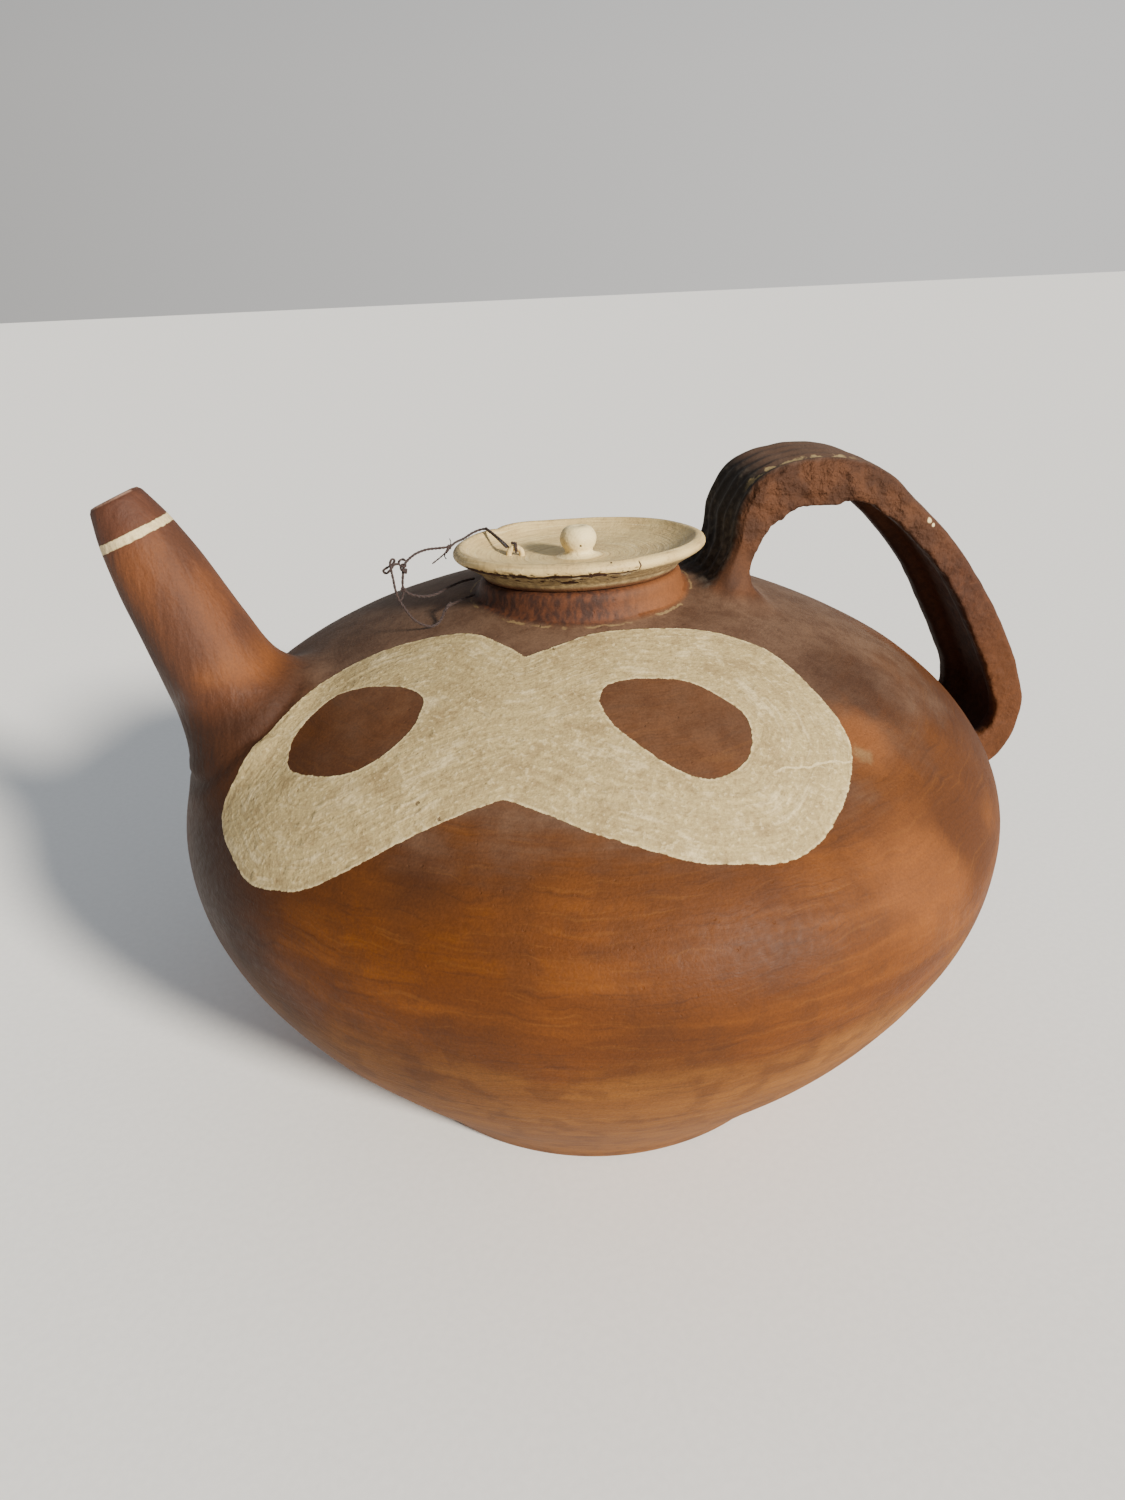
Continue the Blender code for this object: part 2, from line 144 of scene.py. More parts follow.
# Twine: the two laid cords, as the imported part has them
TWINE_DIAMETER = 0.0013
BRANCH_DIAMETER = 0.0012
TWINE_LAY = 0.005
TWINE_STEP = 0.0004
TWINE_SIDES = 12
KNOT_TWINE = 0.001
KNOT_LAY = 0.0035
TWINE_ROUTE = [
    (-0.0386, 0.0142, 0.3014), (-0.0405, 0.0270, 0.3023), (-0.0428, 0.0375, 0.3034),
    (-0.0450, 0.0444, 0.3038), (-0.0510, 0.0438, 0.3027), (-0.0573, 0.0390, 0.3011),
    (-0.0628, 0.0300, 0.3020), (-0.0673, 0.0205, 0.3028), (-0.0728, 0.0170, 0.3034),
    (-0.0800, 0.0120, 0.3047), (-0.0862, 0.0060, 0.3049), (-0.0910, 0.0000, 0.3038),
    (-0.0935, -0.0040, 0.3021), (-0.0946, -0.0060, 0.2982), (-0.0953, -0.0070, 0.2940),
    (-0.0949, -0.0080, 0.2912), (-0.0917, -0.0080, 0.2885), (-0.0854, -0.0080, 0.2868),
    (-0.0792, -0.0070, 0.2871), (-0.0722, -0.0050, 0.2894), (-0.0649, -0.0010, 0.2903),
    (-0.0580, 0.0040, 0.2896),
]
BRANCH_ROUTE = [
    (-0.0966, -0.0081, 0.3046), (-0.0984, -0.0090, 0.3048), (-0.1006, -0.0100, 0.3029),
    (-0.1027, -0.0102, 0.3011), (-0.1043, -0.0112, 0.3029), (-0.1018, -0.0120, 0.3048),
    (-0.0997, -0.0122, 0.3060), (-0.0984, -0.0127, 0.3079), (-0.0996, -0.0136, 0.3091),
    (-0.1008, -0.0142, 0.3071), (-0.1006, -0.0145, 0.3043), (-0.1001, -0.0152, 0.2995),
    (-0.0998, -0.0170, 0.2956), (-0.0989, -0.0190, 0.2911), (-0.0970, -0.0205, 0.2873),
    (-0.0928, -0.0210, 0.2803), (-0.0872, -0.0197, 0.2758), (-0.0833, -0.0187, 0.2747),
    (-0.0799, -0.0170, 0.2757), (-0.0776, -0.0145, 0.2777), (-0.0759, -0.0110, 0.2797),
    (-0.0725, -0.0080, 0.2810), (-0.0680, -0.0055, 0.2817), (-0.0634, -0.0035, 0.2824),
    (-0.0590, -0.0024, 0.2832),
]

# Short lengths of twine as (diameter, points), and knots as (centre, size, axis)
LOOSE_TWINE = {
    "long_end": (0.0008, [(-0.0679, 0.0200, 0.3021), (-0.0697, 0.0185, 0.3006), (-0.0722, 0.0165, 0.2993),
                          (-0.0751, 0.0145, 0.2980), (-0.0778, 0.0130, 0.2968)]),
    "short_end": (0.0006, [(-0.0697, 0.0184, 0.3006), (-0.0708, 0.0176, 0.2988), (-0.0700, 0.0174, 0.2972)]),
    "stub_end": (0.0015, [(-0.0676, 0.0203, 0.3026), (-0.0688, 0.0192, 0.3013), (-0.0697, 0.0184, 0.3004)]),
    "tuft": (0.0005, [(-0.0673, 0.0200, 0.3029), (-0.0667, 0.0200, 0.3052), (-0.0673, 0.0195, 0.3072)]),
    "hanging_end": (0.0011, [(-0.0951, -0.0080, 0.2917), (-0.0958, -0.0082, 0.2887),
                             (-0.0970, -0.0086, 0.2861)]),
    "second_strand": (0.0011, [(-0.0372, 0.0150, 0.3009), (-0.0388, 0.0215, 0.3022),
                               (-0.0408, 0.0290, 0.3033), (-0.0430, 0.0360, 0.3044),
                               (-0.0448, 0.0412, 0.3052)]),
    "doubled_strand": (0.0012, [(-0.0760, -0.0122, 0.2792), (-0.0742, -0.0098, 0.2812),
                                (-0.0722, -0.0082, 0.2822)]),
}
KNOTS = {
    "lip_knot": ((-0.0675, 0.0205, 0.3026), 0.0010, (0.3, 1.0, 0.2)),
    "upper_knot": ((-0.0952, -0.0080, 0.2914), 0.0011, (0.2, 1.0, 0.5)),
    "bud_knot": ((-0.0933, -0.0062, 0.3000), 0.0009, (1.0, 0.2, 0.4)),
}
BUNDLE_TOP = (-0.0946, -0.005, 0.3052)
BUNDLE_FOOT = (-0.0937, -0.006, 0.2996)
BUNDLE_TURNS = 2.4
TWINE_POINTS = 110
LOOSE_POINTS = 30
LUG_TIE_TURNS = 1.6

# The painted figure-eight, in millimetres on the shoulder rolled out flat from its top:
# the distance from the middle is the length along the wall, the direction is as seen from above;
# a point given twice is a corner
EIGHT = [
    (-47, -70), (-47, -70), (-56, -54), (-70, -36), (-101, -23), (-127, -20), (-144, -25),
    (-160, -37), (-190, -55), (-208, -65), (-212, -77), (-211, -91), (-203, -120), (-187, -137),
    (-170, -147), (-143, -151), (-97, -150), (-75, -150), (-75, -150), (-59, -163), (-42, -177),
    (-12, -194), (2, -199), (18, -201), (33, -202), (46, -199), (58, -192), (69, -181), (80, -166),
    (89, -147), (90, -132), (87, -116), (74, -84), (60, -73), (45, -67), (20, -64), (-11, -63),
    (-30, -67),
]
LEFT_OVAL = [(-98, -78), (-98, -78), (-102, -67), (-117, -53), (-137, -43), (-152, -49), (-162, -58),
             (-167, -68), (-167, -79), (-155, -93), (-138, -103), (-121, -102), (-106, -93)]
RIGHT_OVAL = [(-22, -110), (-22, -110), (-17, -102), (-7, -100), (4, -101), (22, -106), (35, -119),
              (41, -129), (40, -140), (35, -151), (26, -158), (12, -161), (-2, -152), (-13, -137),
              (-20, -124)]

# Where the figure is looked for, and the greatest distances that are kept
PAINT_BACK = 0.06
PAINT_LOWEST = 0.175
PAINT_FAR = 0.05
RIM_FAR = 0.2

# Camera and light
CAMERA_PLACE = (-0.1269, -0.5089, 0.4564)
CAMERA_ANGLES = [math.radians(a) for a in (27.424, -1.725, -1.607, -14.0)]
CAMERA_LENS = 24.95
CAMERA_FILM = 36.0
SKY_LOW = (1.00, 0.98, 0.95)
SKY_HIGH = (0.62, 0.67, 0.73)
SUN_COLOUR = (1.0, 0.93, 0.82)
SUN_STRENGTH = 8.6
SUN_SOFTNESS = math.radians(8.0)
SUN_SIDE = math.radians(-59.0)
SUN_RISE = math.radians(25.0)
FLOOR_REACH = 6.0
FLOOR_PALE = (0.86, 0.855, 0.84)
FLOOR_PALER = (0.89, 0.885, 0.87)


def bezier(start, hold_start, hold_end, end, steps):
    """Points of a cubic curve, both ends included."""
    ends = np.array([start, hold_start, hold_end, end])
    t = np.linspace(0.0, 1.0, steps + 1)[:, None]
    weights = np.hstack([(1 - t) ** 3, 3 * (1 - t) ** 2 * t, 3 * (1 - t) * t ** 2, t ** 3])
    return weights @ ends


def smooth_curve(points, count, closed=False):
    """Evenly spaced points on a Catmull-Rom curve through the given points."""
    given = np.array(points, dtype=float)
    if closed:
        padded = np.vstack([given[-1], given, given[0], given[1]])
    else:
        padded = np.vstack([2 * given[0] - given[1], given, 2 * given[-1] - given[-2]])
    dense = []
    for i in range(1, len(padded) - 2):
        before, start, end, after = padded[i - 1:i + 3]
        if np.allclose(start, end):
            continue
        for t in np.linspace(0.0, 1.0, 12, endpoint=False):
            dense.append(0.5 * (2 * start + (end - before) * t
                                + (2 * before - 5 * start + 4 * end - after) * t ** 2
                                + (3 * start - before - 3 * end + after) * t ** 3))
    dense.append(padded[-2])
    dense = np.array(dense)
    along = lengths(dense)
    wanted = np.linspace(0.0, along[-1], count)
    return np.stack([np.interp(wanted, along, dense[:, k]) for k in range(dense.shape[1])], axis=1)


def lengths(points):
    """Length along a line of points, up to each point."""
    steps = np.linalg.norm(np.diff(points[:, :3], axis=0), axis=1)
    return np.concatenate([[0.0], np.cumsum(steps)])


def smooth_step(value, low, high):
    share = np.clip((value - low) / (high - low), 0.0, 1.0)
    return share * share * (3.0 - 2.0 * share)


def rough(points, size, octaves=3, seed=0.0):
    """Soft natural unevenness, about -1 to 1, with swells of the given size in metres."""
    shift = Vector((seed * 7.31, seed * 3.17, seed * 5.53))
    return np.array([noise.fractal(Vector(p) / size + shift, 0.9, 2.1, octaves) for p in points])


# The body's wall and what is measured from it

def body_wall(steps):
    """Outer face of the body as (radius, height), from the foot up to the neck."""
    foot = (FOOT_RADIUS, FOOT_HEIGHT)
    foot_hold = (FOOT_RADIUS + FOOT_PULL * math.cos(FOOT_FLARE),
                 FOOT_HEIGHT + FOOT_PULL * math.sin(FOOT_FLARE))
    belly = (BELLY_RADIUS, BELLY_HEIGHT)
    belly_below = (BELLY_RADIUS, BELLY_HEIGHT - LOWER_BELLY_PULL)
    belly_above = (BELLY_RADIUS, BELLY_HEIGHT + UPPER_BELLY_PULL)
    neck = (NECK_RADIUS, NECK_HEIGHT)
    neck_hold = (NECK_RADIUS + SHOULDER_PULL * math.cos(SHOULDER_SLOPE),
                 NECK_HEIGHT - SHOULDER_PULL * math.sin(SHOULDER_SLOPE))
    lower = bezier(foot, foot_hold, belly_below, belly, steps)
    upper = bezier(belly, belly_above, neck_hold, neck, steps)
    return np.vstack([lower, upper[1:]])


def outer_profile(steps):
    """The body's outside from the middle of the neck down to the middle of the base."""
    rounding = (BASE_RADIUS + 0.62 * (FOOT_RADIUS - BASE_RADIUS), 0.18 * FOOT_HEIGHT)
    return np.vstack([(0.0, NECK_HEIGHT), body_wall(steps)[::-1], rounding, (BASE_RADIUS, 0.0), (0.0, 0.0)])


def inner_profile(steps):
    wall = body_wall(steps)
    along = np.gradient(wall, axis=0)
    along /= np.linalg.norm(along, axis=1)[:, None]
    inside = wall - WALL * np.stack([along[:, 1], -along[:, 0]], axis=1)
    inside = inside[inside[:, 1] > FLOOR + 0.004]
    return np.vstack([(0.0, inside[-1, 1]), inside[::-1], (inside[0, 0] - 0.005, FLOOR), (0.0, FLOOR)])


def nearest_edge(points, start, edge):
    """For each flat point: its nearest edge, how far along that edge it lies, and the gap to it."""
    size = np.maximum((edge ** 2).sum(axis=1), TINY)
    found = []
    for part in np.array_split(points, max(1, len(points) // AT_ONCE)):
        share = np.clip(((part[:, None] - start) * edge).sum(axis=2) / size, 0.0, 1.0)
        gap = np.linalg.norm(part[:, None] - (start + share[..., None] * edge), axis=2)
        best = gap.argmin(axis=1)
        rows = np.arange(len(part))
        found.append(np.stack([best, share[rows, best], gap[rows, best]]))
    best, share, gap = np.hstack(found)
    return best.astype(int), share, gap


def from_body(points):
    """Signed distance from the body's outer face, and the wall's length from the middle of the top."""
    wall = body_wall(240)[::-1]
    line = np.vstack([(0.0, NECK_HEIGHT), wall, (BASE_RADIUS, 0.0), (0.0, 0.0)])
    flat = np.stack([np.hypot(points[:, 0], points[:, 1]), points[:, 2]], axis=1)
    start, edge = line[:-1], np.diff(line, axis=0)
    best, share, gap = nearest_edge(flat, start, edge)
    away = flat - (start[best] + share[:, None] * edge[best])
    side = away[:, 0] * edge[best, 1] - away[:, 1] * edge[best, 0]
    reach = lengths(line)[best] + share * np.linalg.norm(edge[best], axis=1)
    return gap * np.where(side < 0.0, 1.0, -1.0), reach


def spout_radius(distance):
    """Outer radius of the spout at a distance below its mouth."""
    grown = np.interp(np.asarray(distance) / SPOUT_LENGTH, SPOUT_SHARES, SPOUT_SWELL)
    return SPOUT_MOUTH_RADIUS + grown * (SPOUT_ROOT_RADIUS - SPOUT_MOUTH_RADIUS)


def from_spout(points):
    """Signed distance from the spout's outside, and the depth below its mouth."""
    away = points - np.array(SPOUT_MOUTH)
    depth = -away @ np.array(SPOUT_AXIS)
    across = np.linalg.norm(away + depth[:, None] * np.array(SPOUT_AXIS), axis=1)
    side = across - spout_radius(np.clip(depth, 0.0, SPOUT_LENGTH))
    return np.maximum(np.maximum(side, -depth), depth - SPOUT_LENGTH - 0.025), depth


def swell(here, reach):
    """How far a wall is drawn out where another meets it: a quarter of the reach at the seam."""
    drawn = np.zeros_like(here)
    for _ in range(8):
        near = np.clip(1.0 - (here - drawn) / reach, 0.0, 1.0)
        drawn = reach / 4.0 * near ** 2
    return drawn


# Building blocks

def made_mesh(item, name):
    """What an object and its modifiers come to, as a plain mesh; the object itself is removed."""
    evaluated = item.evaluated_get(bpy.context.evaluated_depsgraph_get())
    mesh = bpy.data.meshes.new_from_object(evaluated)
    mesh.name = name
    bpy.data.objects.remove(item, do_unlink=True)
    return mesh


def placed(name, mesh):
    item = bpy.data.objects.new(name, mesh)
    bpy.context.scene.collection.objects.link(item)
    return item


def points_of(mesh, kind="vertices", value="co"):
    items = getattr(mesh, kind)
    flat = np.empty(len(items) * 3)
    items.foreach_get(value, flat)
    return flat.reshape(-1, 3)


def normals_of(mesh):
    return points_of(mesh, "vertex_normals", "vector")


def set_points(mesh, points):
    mesh.vertices.foreach_set("co", np.ascontiguousarray(points, dtype=np.float32).ravel())
    mesh.update()


def outwards(mesh):
    """Doubles merged and every face turned to look out."""
    shape = bmesh.new()
    shape.from_mesh(mesh)
    bmesh.ops.remove_doubles(shape, verts=shape.verts, dist=WELD)
    bmesh.ops.recalc_face_normals(shape, faces=shape.faces)
    shape.to_mesh(mesh)
    shape.free()
    mesh.shade_smooth()


class Value:
    """What a node gives, so that sums of values can be written as sums."""

    def __init__(self, nodes, socket):
        self.nodes = nodes
        self.socket = socket

    def __add__(self, other):
        return self.nodes.math("ADD", self, other)

    def __sub__(self, other):
        return self.nodes.math("SUBTRACT", self, other)

    def __rsub__(self, other):
        return self.nodes.math("SUBTRACT", other, self)

    def __mul__(self, other):
        return self.nodes.math("MULTIPLY", self, other)

    def __truediv__(self, other):
        return self.nodes.math("DIVIDE", self, other)

    def __abs__(self):
        return self.nodes.math("ABSOLUTE", self)

    def axis(self, name):
        return self.nodes.node("ShaderNodeSeparateXYZ", {0: self}, name)

    def swing(self, amount):
        """Clouds about 0.5 made to swing about zero by up to half the amount."""
        return self.nodes.math("MULTIPLY_ADD", self, amount, -0.5 * amount)

    def ramp(self, low, high, start=0.0, end=1.0, kind="SMOOTHSTEP"):
        ends = {"Value": self, "From Min": low, "From Max": high, "To Min": start, "To Max": end}
        return self.nodes.node("ShaderNodeMapRange", ends, interpolation_type=kind)

    def shades(self, low, high, first, second):
        """Two colours that pass into each other between two values."""
        return self.nodes.mix(self.ramp(low, high), first, second)


class Nodes:
    """A node tree being filled: each call adds to it and gives back the output that is asked for."""

    def __init__(self, tree):
        self.tree = tree

    def node(self, kind, feeds=(), output=0, **settings):
        node = self.tree.nodes.new(kind)
        for name, value in settings.items():
            setattr(node, name, value)
        for name, value in dict(feeds).items():
            self.feed(node.inputs[name], value)
        return Value(self, node.outputs[output])

    def feed(self, socket, value):
        if isinstance(value, Value):
            self.tree.links.new(value.socket, socket)
        else:
            socket.default_value = value

    def math(self, operation, *values):
        return self.node("ShaderNodeMath", dict(enumerate(values)), operation=operation)

    def most(self, *values):
        return reduce(lambda so_far, value: self.math("MAXIMUM", so_far, value), values)

    def distance(self, first, second):
        return self.node("ShaderNodeVectorMath", {0: first, 1: second}, "Value", operation="DISTANCE")

    def mix(self, share, first, second, blend="MIX"):
        first, second = (c if isinstance(c, Value) else (*c, 1.0) for c in (first, second))
        feeds = {0: share, 6: first, 7: second}
        return self.node("ShaderNodeMix", feeds, 2, data_type="RGBA", blend_type=blend)

    def close(self, geometry, finish):
        """Ends a geometry tree: instances made real, and its material set."""
        real = self.node("GeometryNodeRealizeInstances", {0: geometry})
        done = self.node("GeometryNodeSetMaterial", {"Geometry": real, "Material": finish})
        self.feed(self.tree.nodes.new("NodeGroupOutput").inputs[0], done)
        return self.tree


def node_group(name, output, **inputs):
    """A new geometry tree, what each of its named inputs is known by, and what the inputs give."""
    tree = bpy.data.node_groups.new(name, "GeometryNodeTree")
    known_by = {}
    for label, (kind, value) in inputs.items():
        socket = tree.interface.new_socket(label, in_out="INPUT", socket_type="NodeSocket" + kind)
        if value is not None:
            socket.default_value = value
        known_by[label] = socket.identifier
    tree.interface.new_socket(output, in_out="OUTPUT", socket_type="NodeSocketGeometry")
    nodes = Nodes(tree)
    sockets = tree.nodes.new("NodeGroupInput").outputs
    return nodes, known_by, {label: Value(nodes, sockets[label]) for label in inputs}


def shaped(group, name, line, **inputs):
    """What a geometry tree makes of a line of points, as a plain mesh."""
    tree, known_by = group
    mesh = bpy.data.meshes.new(name)
    mesh.from_pydata(line, [(i, i + 1) for i in range(len(line) - 1)], [])
    item = placed(name + "_line", mesh)
    shaping = item.modifiers.new("Shaped", "NODES")
    shaping.node_group = tree
    for label, value in inputs.items():
        shaping[known_by[label]] = value
    return made_mesh(item, name)


def turning_tree():
    """Turns the profile line it is given about Z into one skin, finer towards the front."""
    n, known_by, given = node_group("turned_form", "Form", Profile=("Geometry", None), Around=("Int", 96),
                                    Along=("Int", 48), Crowding=("Float", 0.0), Finish=("Material", None))
    grid = n.node("GeometryNodeMeshGrid", {"Size X": 1.0, "Size Y": 1.0, "Vertices X": given["Around"] + 1.0,
                                           "Vertices Y": given["Along"]}, "Mesh")
    spot = n.node("GeometryNodeInputPosition")
    turn = (spot.axis("X") + 0.5) * math.tau
    angle = turn - n.math("SINE", turn) * given["Crowding"] + FINEST_SIDE
    line = n.node("GeometryNodeMeshToCurve", {0: given["Profile"]})
    sample = n.node("GeometryNodeSampleCurve", {"Curves": line, "Factor": spot.axis("Y") + 0.5},
                    "Position", mode="FACTOR")
    radius = sample.axis("X")
    point = n.node("ShaderNodeCombineXYZ", {"X": radius * n.math("COSINE", angle),
                                            "Y": radius * n.math("SINE", angle), "Z": sample.axis("Z")})
    moved = n.node("GeometryNodeSetPosition", {"Geometry": grid, "Position": point})
    welded = n.node("GeometryNodeMergeByDistance", {"Geometry": moved, "Distance": WELD})
    return n.close(welded, given["Finish"]), known_by


def turned(group, name, profile, around, along, finish, crowding=0.0, place=None):
    """A closed skin turned from a line of (radius, height), as a plain mesh."""
    made = shaped(group, name, [(float(r), 0.0, float(z)) for r, z in profile], Around=around, Along=along,
                  Crowding=crowding, Finish=finish)
    outwards(made)
    if place:
        made.transform(place)
    return made


def skin(name, rings, finish=None, closed=False):
    """A loft through rings of points, its two ends capped, or closed on itself."""
    rows, count = rings.shape[:2]
    at = np.arange(rows * count).reshape(rows, count)
    caps = [] if closed else [at[0][::-1].tolist(), at[-1].tolist()]
    if closed:
        at = np.vstack([at, at[:1]])
    following = np.roll(at, -1, axis=1)
    quads = np.stack([at[:-1], following[:-1], following[1:], at[1:]], axis=-1).reshape(-1, 4)
    mesh = bpy.data.meshes.new(name)
    mesh.from_pydata(rings.reshape(-1, 3).tolist(), [], quads.tolist() + caps)
    if finish:
        mesh.materials.append(finish)
    outwards(mesh)
    return mesh


# The pot

def strap_outline(thickness, back, crown, channel, ragged):
    """The strap's section as (across, outwards), round from the front corner inside."""
    half = thickness / 2
    front, inner = HANDLE_FRONT, -half
    floor = inner + channel
    lower_corner = inner + STRAP_RAGGED_EDGE * ragged
    flange = front + HANDLE_FLANGE + STRAP_RAGGED_FLANGE * ragged
    far_flange = back - HANDLE_FLANGE
    corners = [(front, lower_corner), (flange, inner), (flange + CHANNEL_SLOPE, floor),
               (far_flange - CHANNEL_SLOPE, floor),
               (far_flange, inner), (back, inner), (back, half)]
    outline = []
    for start, end, count in zip(corners, corners[1:], STRAP_SIDE_STEPS):
        outline += [tuple(np.add(start, np.subtract(end, start) * k / count)) for k in range(count)]
    for share in np.arange(STRAP_CROWN_STEPS) / STRAP_CROWN_STEPS:
        bulge = crown * (1.0 - (2.0 * share - 1.0) ** 4) ** 0.8
        outline.append((back - (back - front) * share, half + bulge))
    outline += [(front, half + (lower_corner - half) * share)
                for share in np.arange(STRAP_FRONT_STEPS) / STRAP_FRONT_STEPS]
    outline = np.array(outline)
    for _ in range(2):
        outline = 0.5 * outline + 0.25 * (np.roll(outline, 1, axis=0) + np.roll(outline, -1, axis=0))
    return outline


def strap_handle():
    """The strap as rings of points, and for each point how far along, across and outwards it is."""
    reach = HANDLE_FOOT_X - HANDLE_NEAR_X
    rise = NECK_HEIGHT - HANDLE_FOOT_HEIGHT
    centres = [(HANDLE_NEAR_X + across * reach, 0.0, HANDLE_FOOT_HEIGHT + up * rise, thickness)
               for across, up, thickness in HANDLE_STATIONS]
    line = smooth_curve(centres, 190)
    tangents = np.gradient(line[:, [0, 2]], axis=0)
    tangents /= np.linalg.norm(tangents, axis=1)[:, None]
    along = lengths(line)
    ridge_rows = ((-0.0225, 1.25, 0.0026, 0.3), (-0.0125, 0.9, 0.0022, 1.0), (-0.003, 1.1, 0.003, 0.8),
                  (0.0085, 0.8, 0.0024, 1.2), (0.0185, 1.0, 0.003, 0.6))
    rings, values = [], []
    for (x, _, z, thickness), (tx, tz), run in zip(line, tangents, along):
        share = min(max((x - HANDLE_NEAR_X) / reach, 0.0), 1.0)
        spread = share * share * (3 - 2 * share)
        ragged = noise.fractal(Vector((run / 0.009, 3.1, 0.4)), 0.8, 2.2, 3)
        outline = strap_outline(thickness, HANDLE_BACK + HANDLE_BACK_SPREAD * spread,
                                0.0015 + 0.0025 * spread, HANDLE_CHANNEL * spread, ragged)
        across, out = outline[:, 0], outline[:, 1]
        outer = smooth_step(out, thickness * 0.38, thickness * 0.46)
        strength = 0.0014 - 0.0012 * smooth_step(run, 0.1, 0.18)
        wander = 0.004 * noise.fractal(Vector((run / 0.03, 8.3, 1.7)), 0.9, 2.1, 3)
        ridges = sum(weight * np.exp(-((across - place - wander * lean) / broad) ** 2)
                     for place, weight, broad, lean in ridge_rows)
        out = out + outer * strength * (ridges - 0.55)
        corner_fill = 0.0042 * math.exp(-((run - 0.062) / 0.014) ** 2)
        out = out - (corner_fill * smooth_step(-out, 0.0, thickness * 0.4)
                     * (1.0 - smooth_step(across, -0.016, 0.0)))
        rings.append(np.stack([x - tz * out, across, z + tx * out], axis=1))
        values.append(np.stack([np.full(len(out), run), across, out / thickness], axis=1))
    rings = np.array(rings)
    dented = 0.0011 * rough(rings[:, 60], 0.024, 3, 7.0)
    centre = rings.mean(axis=1, keepdims=True)
    outward = rings - centre
    outward /= np.linalg.norm(outward, axis=2, keepdims=True)
    return rings + outward * dented[:, None, None], np.array(values)


def torn(rings, values):
    """The strap's front face, crumbled where the clay was cut and left unworked."""
    front = 1.0 - smooth_step(values[..., 1], HANDLE_FRONT + 0.001, HANDLE_FRONT + 0.0045)
    span = smooth_step(values[..., 0], 0.045, 0.07) * (1.0 - 0.6 * smooth_step(values[..., 0], 0.13, 0.2))
    moved = rings.copy()
    for ring, share in zip(moved, front * span):
        picked = share > 0.02
        coarse = rough(ring[picked], 0.013, 3, 2.0)
        fine = rough(ring[picked], 0.0028, 3, 5.0)
        ring[picked, 1] += share[picked] * (0.0017 * coarse + 0.0005 * fine)
        ring[picked, 2] += share[picked] * 0.0005 * fine
    return moved


def from_surface(points, mesh, reach, chosen):
    """Distance from a mesh at the chosen points, as far as the reach; the reach at the others."""
    tree = BVHTree.FromPolygons([v.co for v in mesh.vertices], [p.vertices for p in mesh.polygons])
    gaps = np.full(len(points), reach)
    for i in np.nonzero(chosen)[0]:
        gap = tree.find_nearest(Vector(points[i]), reach)[3]
        gaps[i] = reach if gap is None else gap
    return gaps


def neck_place(height=0.0):
    """The matrix that stands a turned form on the neck's leaning axis."""
    tilt_axis = Vector((math.sin(NECK_RAISED_SIDE), -math.cos(NECK_RAISED_SIDE), 0.0))
    seat = Matrix.Translation((*NECK_SHIFT, NECK_HEIGHT + COLLAR_HEIGHT))
    lean = Matrix.Rotation(NECK_LEAN, 4, tilt_axis)
    return seat @ lean @ Matrix.Translation((0.0, 0.0, height))


def spout_place():
    return Matrix.Translation(SPOUT_MOUTH) @ SPOUT_AXIS.to_track_quat("Z", "Y").to_matrix().to_4x4()


def collar_profile():
    depth = 0.02
    edge = bezier((COLLAR_RADIUS - 0.0036, 0.0), (COLLAR_RADIUS - 0.0012, 0.0002),
                  (COLLAR_RADIUS, -0.001), (COLLAR_RADIUS + 0.0002, -0.004), 8)
    return np.vstack([(0.0, 0.0), edge, (COLLAR_RADIUS, -0.0085), (COLLAR_RADIUS, -depth), (0.0, -depth)])


def spout_profile():
    lip = bezier((SPOUT_BORE_AT_MOUTH + 0.0003, 0.0), (SPOUT_MOUTH_RADIUS - 0.0012, 0.0004),
                 (SPOUT_MOUTH_RADIUS - 0.0002, -0.0004), (spout_radius(0.0022), -0.0022), 6)
    depths = np.linspace(0.003, SPOUT_LENGTH, 60)
    wall = np.stack([spout_radius(depths), -depths], axis=1)
    for _ in range(6):
        wall[1:-1, 0] = 0.5 * wall[1:-1, 0] + 0.25 * (wall[:-2, 0] + wall[2:, 0])
    end = [(SPOUT_ROOT_RADIUS - 0.001, -SPOUT_LENGTH - 0.012),
           (SPOUT_ROOT_RADIUS * 0.7, -SPOUT_LENGTH - 0.024), (0.0, -SPOUT_LENGTH - 0.03)]
    return np.vstack([(0.0, 0.0), lip, wall, end])


def spout_bore_profile():
    depths = np.linspace(0.0, 0.093, 24)
    wall = np.minimum(spout_radius(depths) - SPOUT_WALL, SPOUT_BORE_AT_MOUTH + depths * 0.21)
    wall = np.maximum(wall, SPOUT_BORE_AT_MOUTH)
    above, end, mouth = 0.006, -SPOUT_LENGTH - 0.007, SPOUT_BORE_AT_MOUTH + 0.0008
    return np.vstack([(0.0, above), (mouth, above), (mouth, 0.0), np.stack([wall, -depths], axis=1)[1:],
                      (wall[-1], end), (0.0, end)])


def neck_bore_profile():
    ease, above, end = 0.0015, 0.006, -0.029
    return [(0.0, above), (MOUTH_RADIUS + ease, above), (MOUTH_RADIUS + ease, 0.0),
            (MOUTH_RADIUS + 0.0004, -0.0006), (MOUTH_RADIUS, -ease), (MOUTH_RADIUS, end), (0.0, end)]


def squareness(points, normals, from_other):
    """How squarely a wall meets another near each point: 0 where they run alike, 1 at a right angle."""
    step = 0.0005
    here = from_other(points)[0]
    slope = np.stack([from_other(points + step * axis)[0] - here for axis in np.eye(3)], axis=1) / step
    slope /= np.maximum(np.linalg.norm(slope, axis=1), 1e-6)[:, None]
    return np.clip(1.0 - (normals * slope).sum(axis=1), 0.0, 1.0)


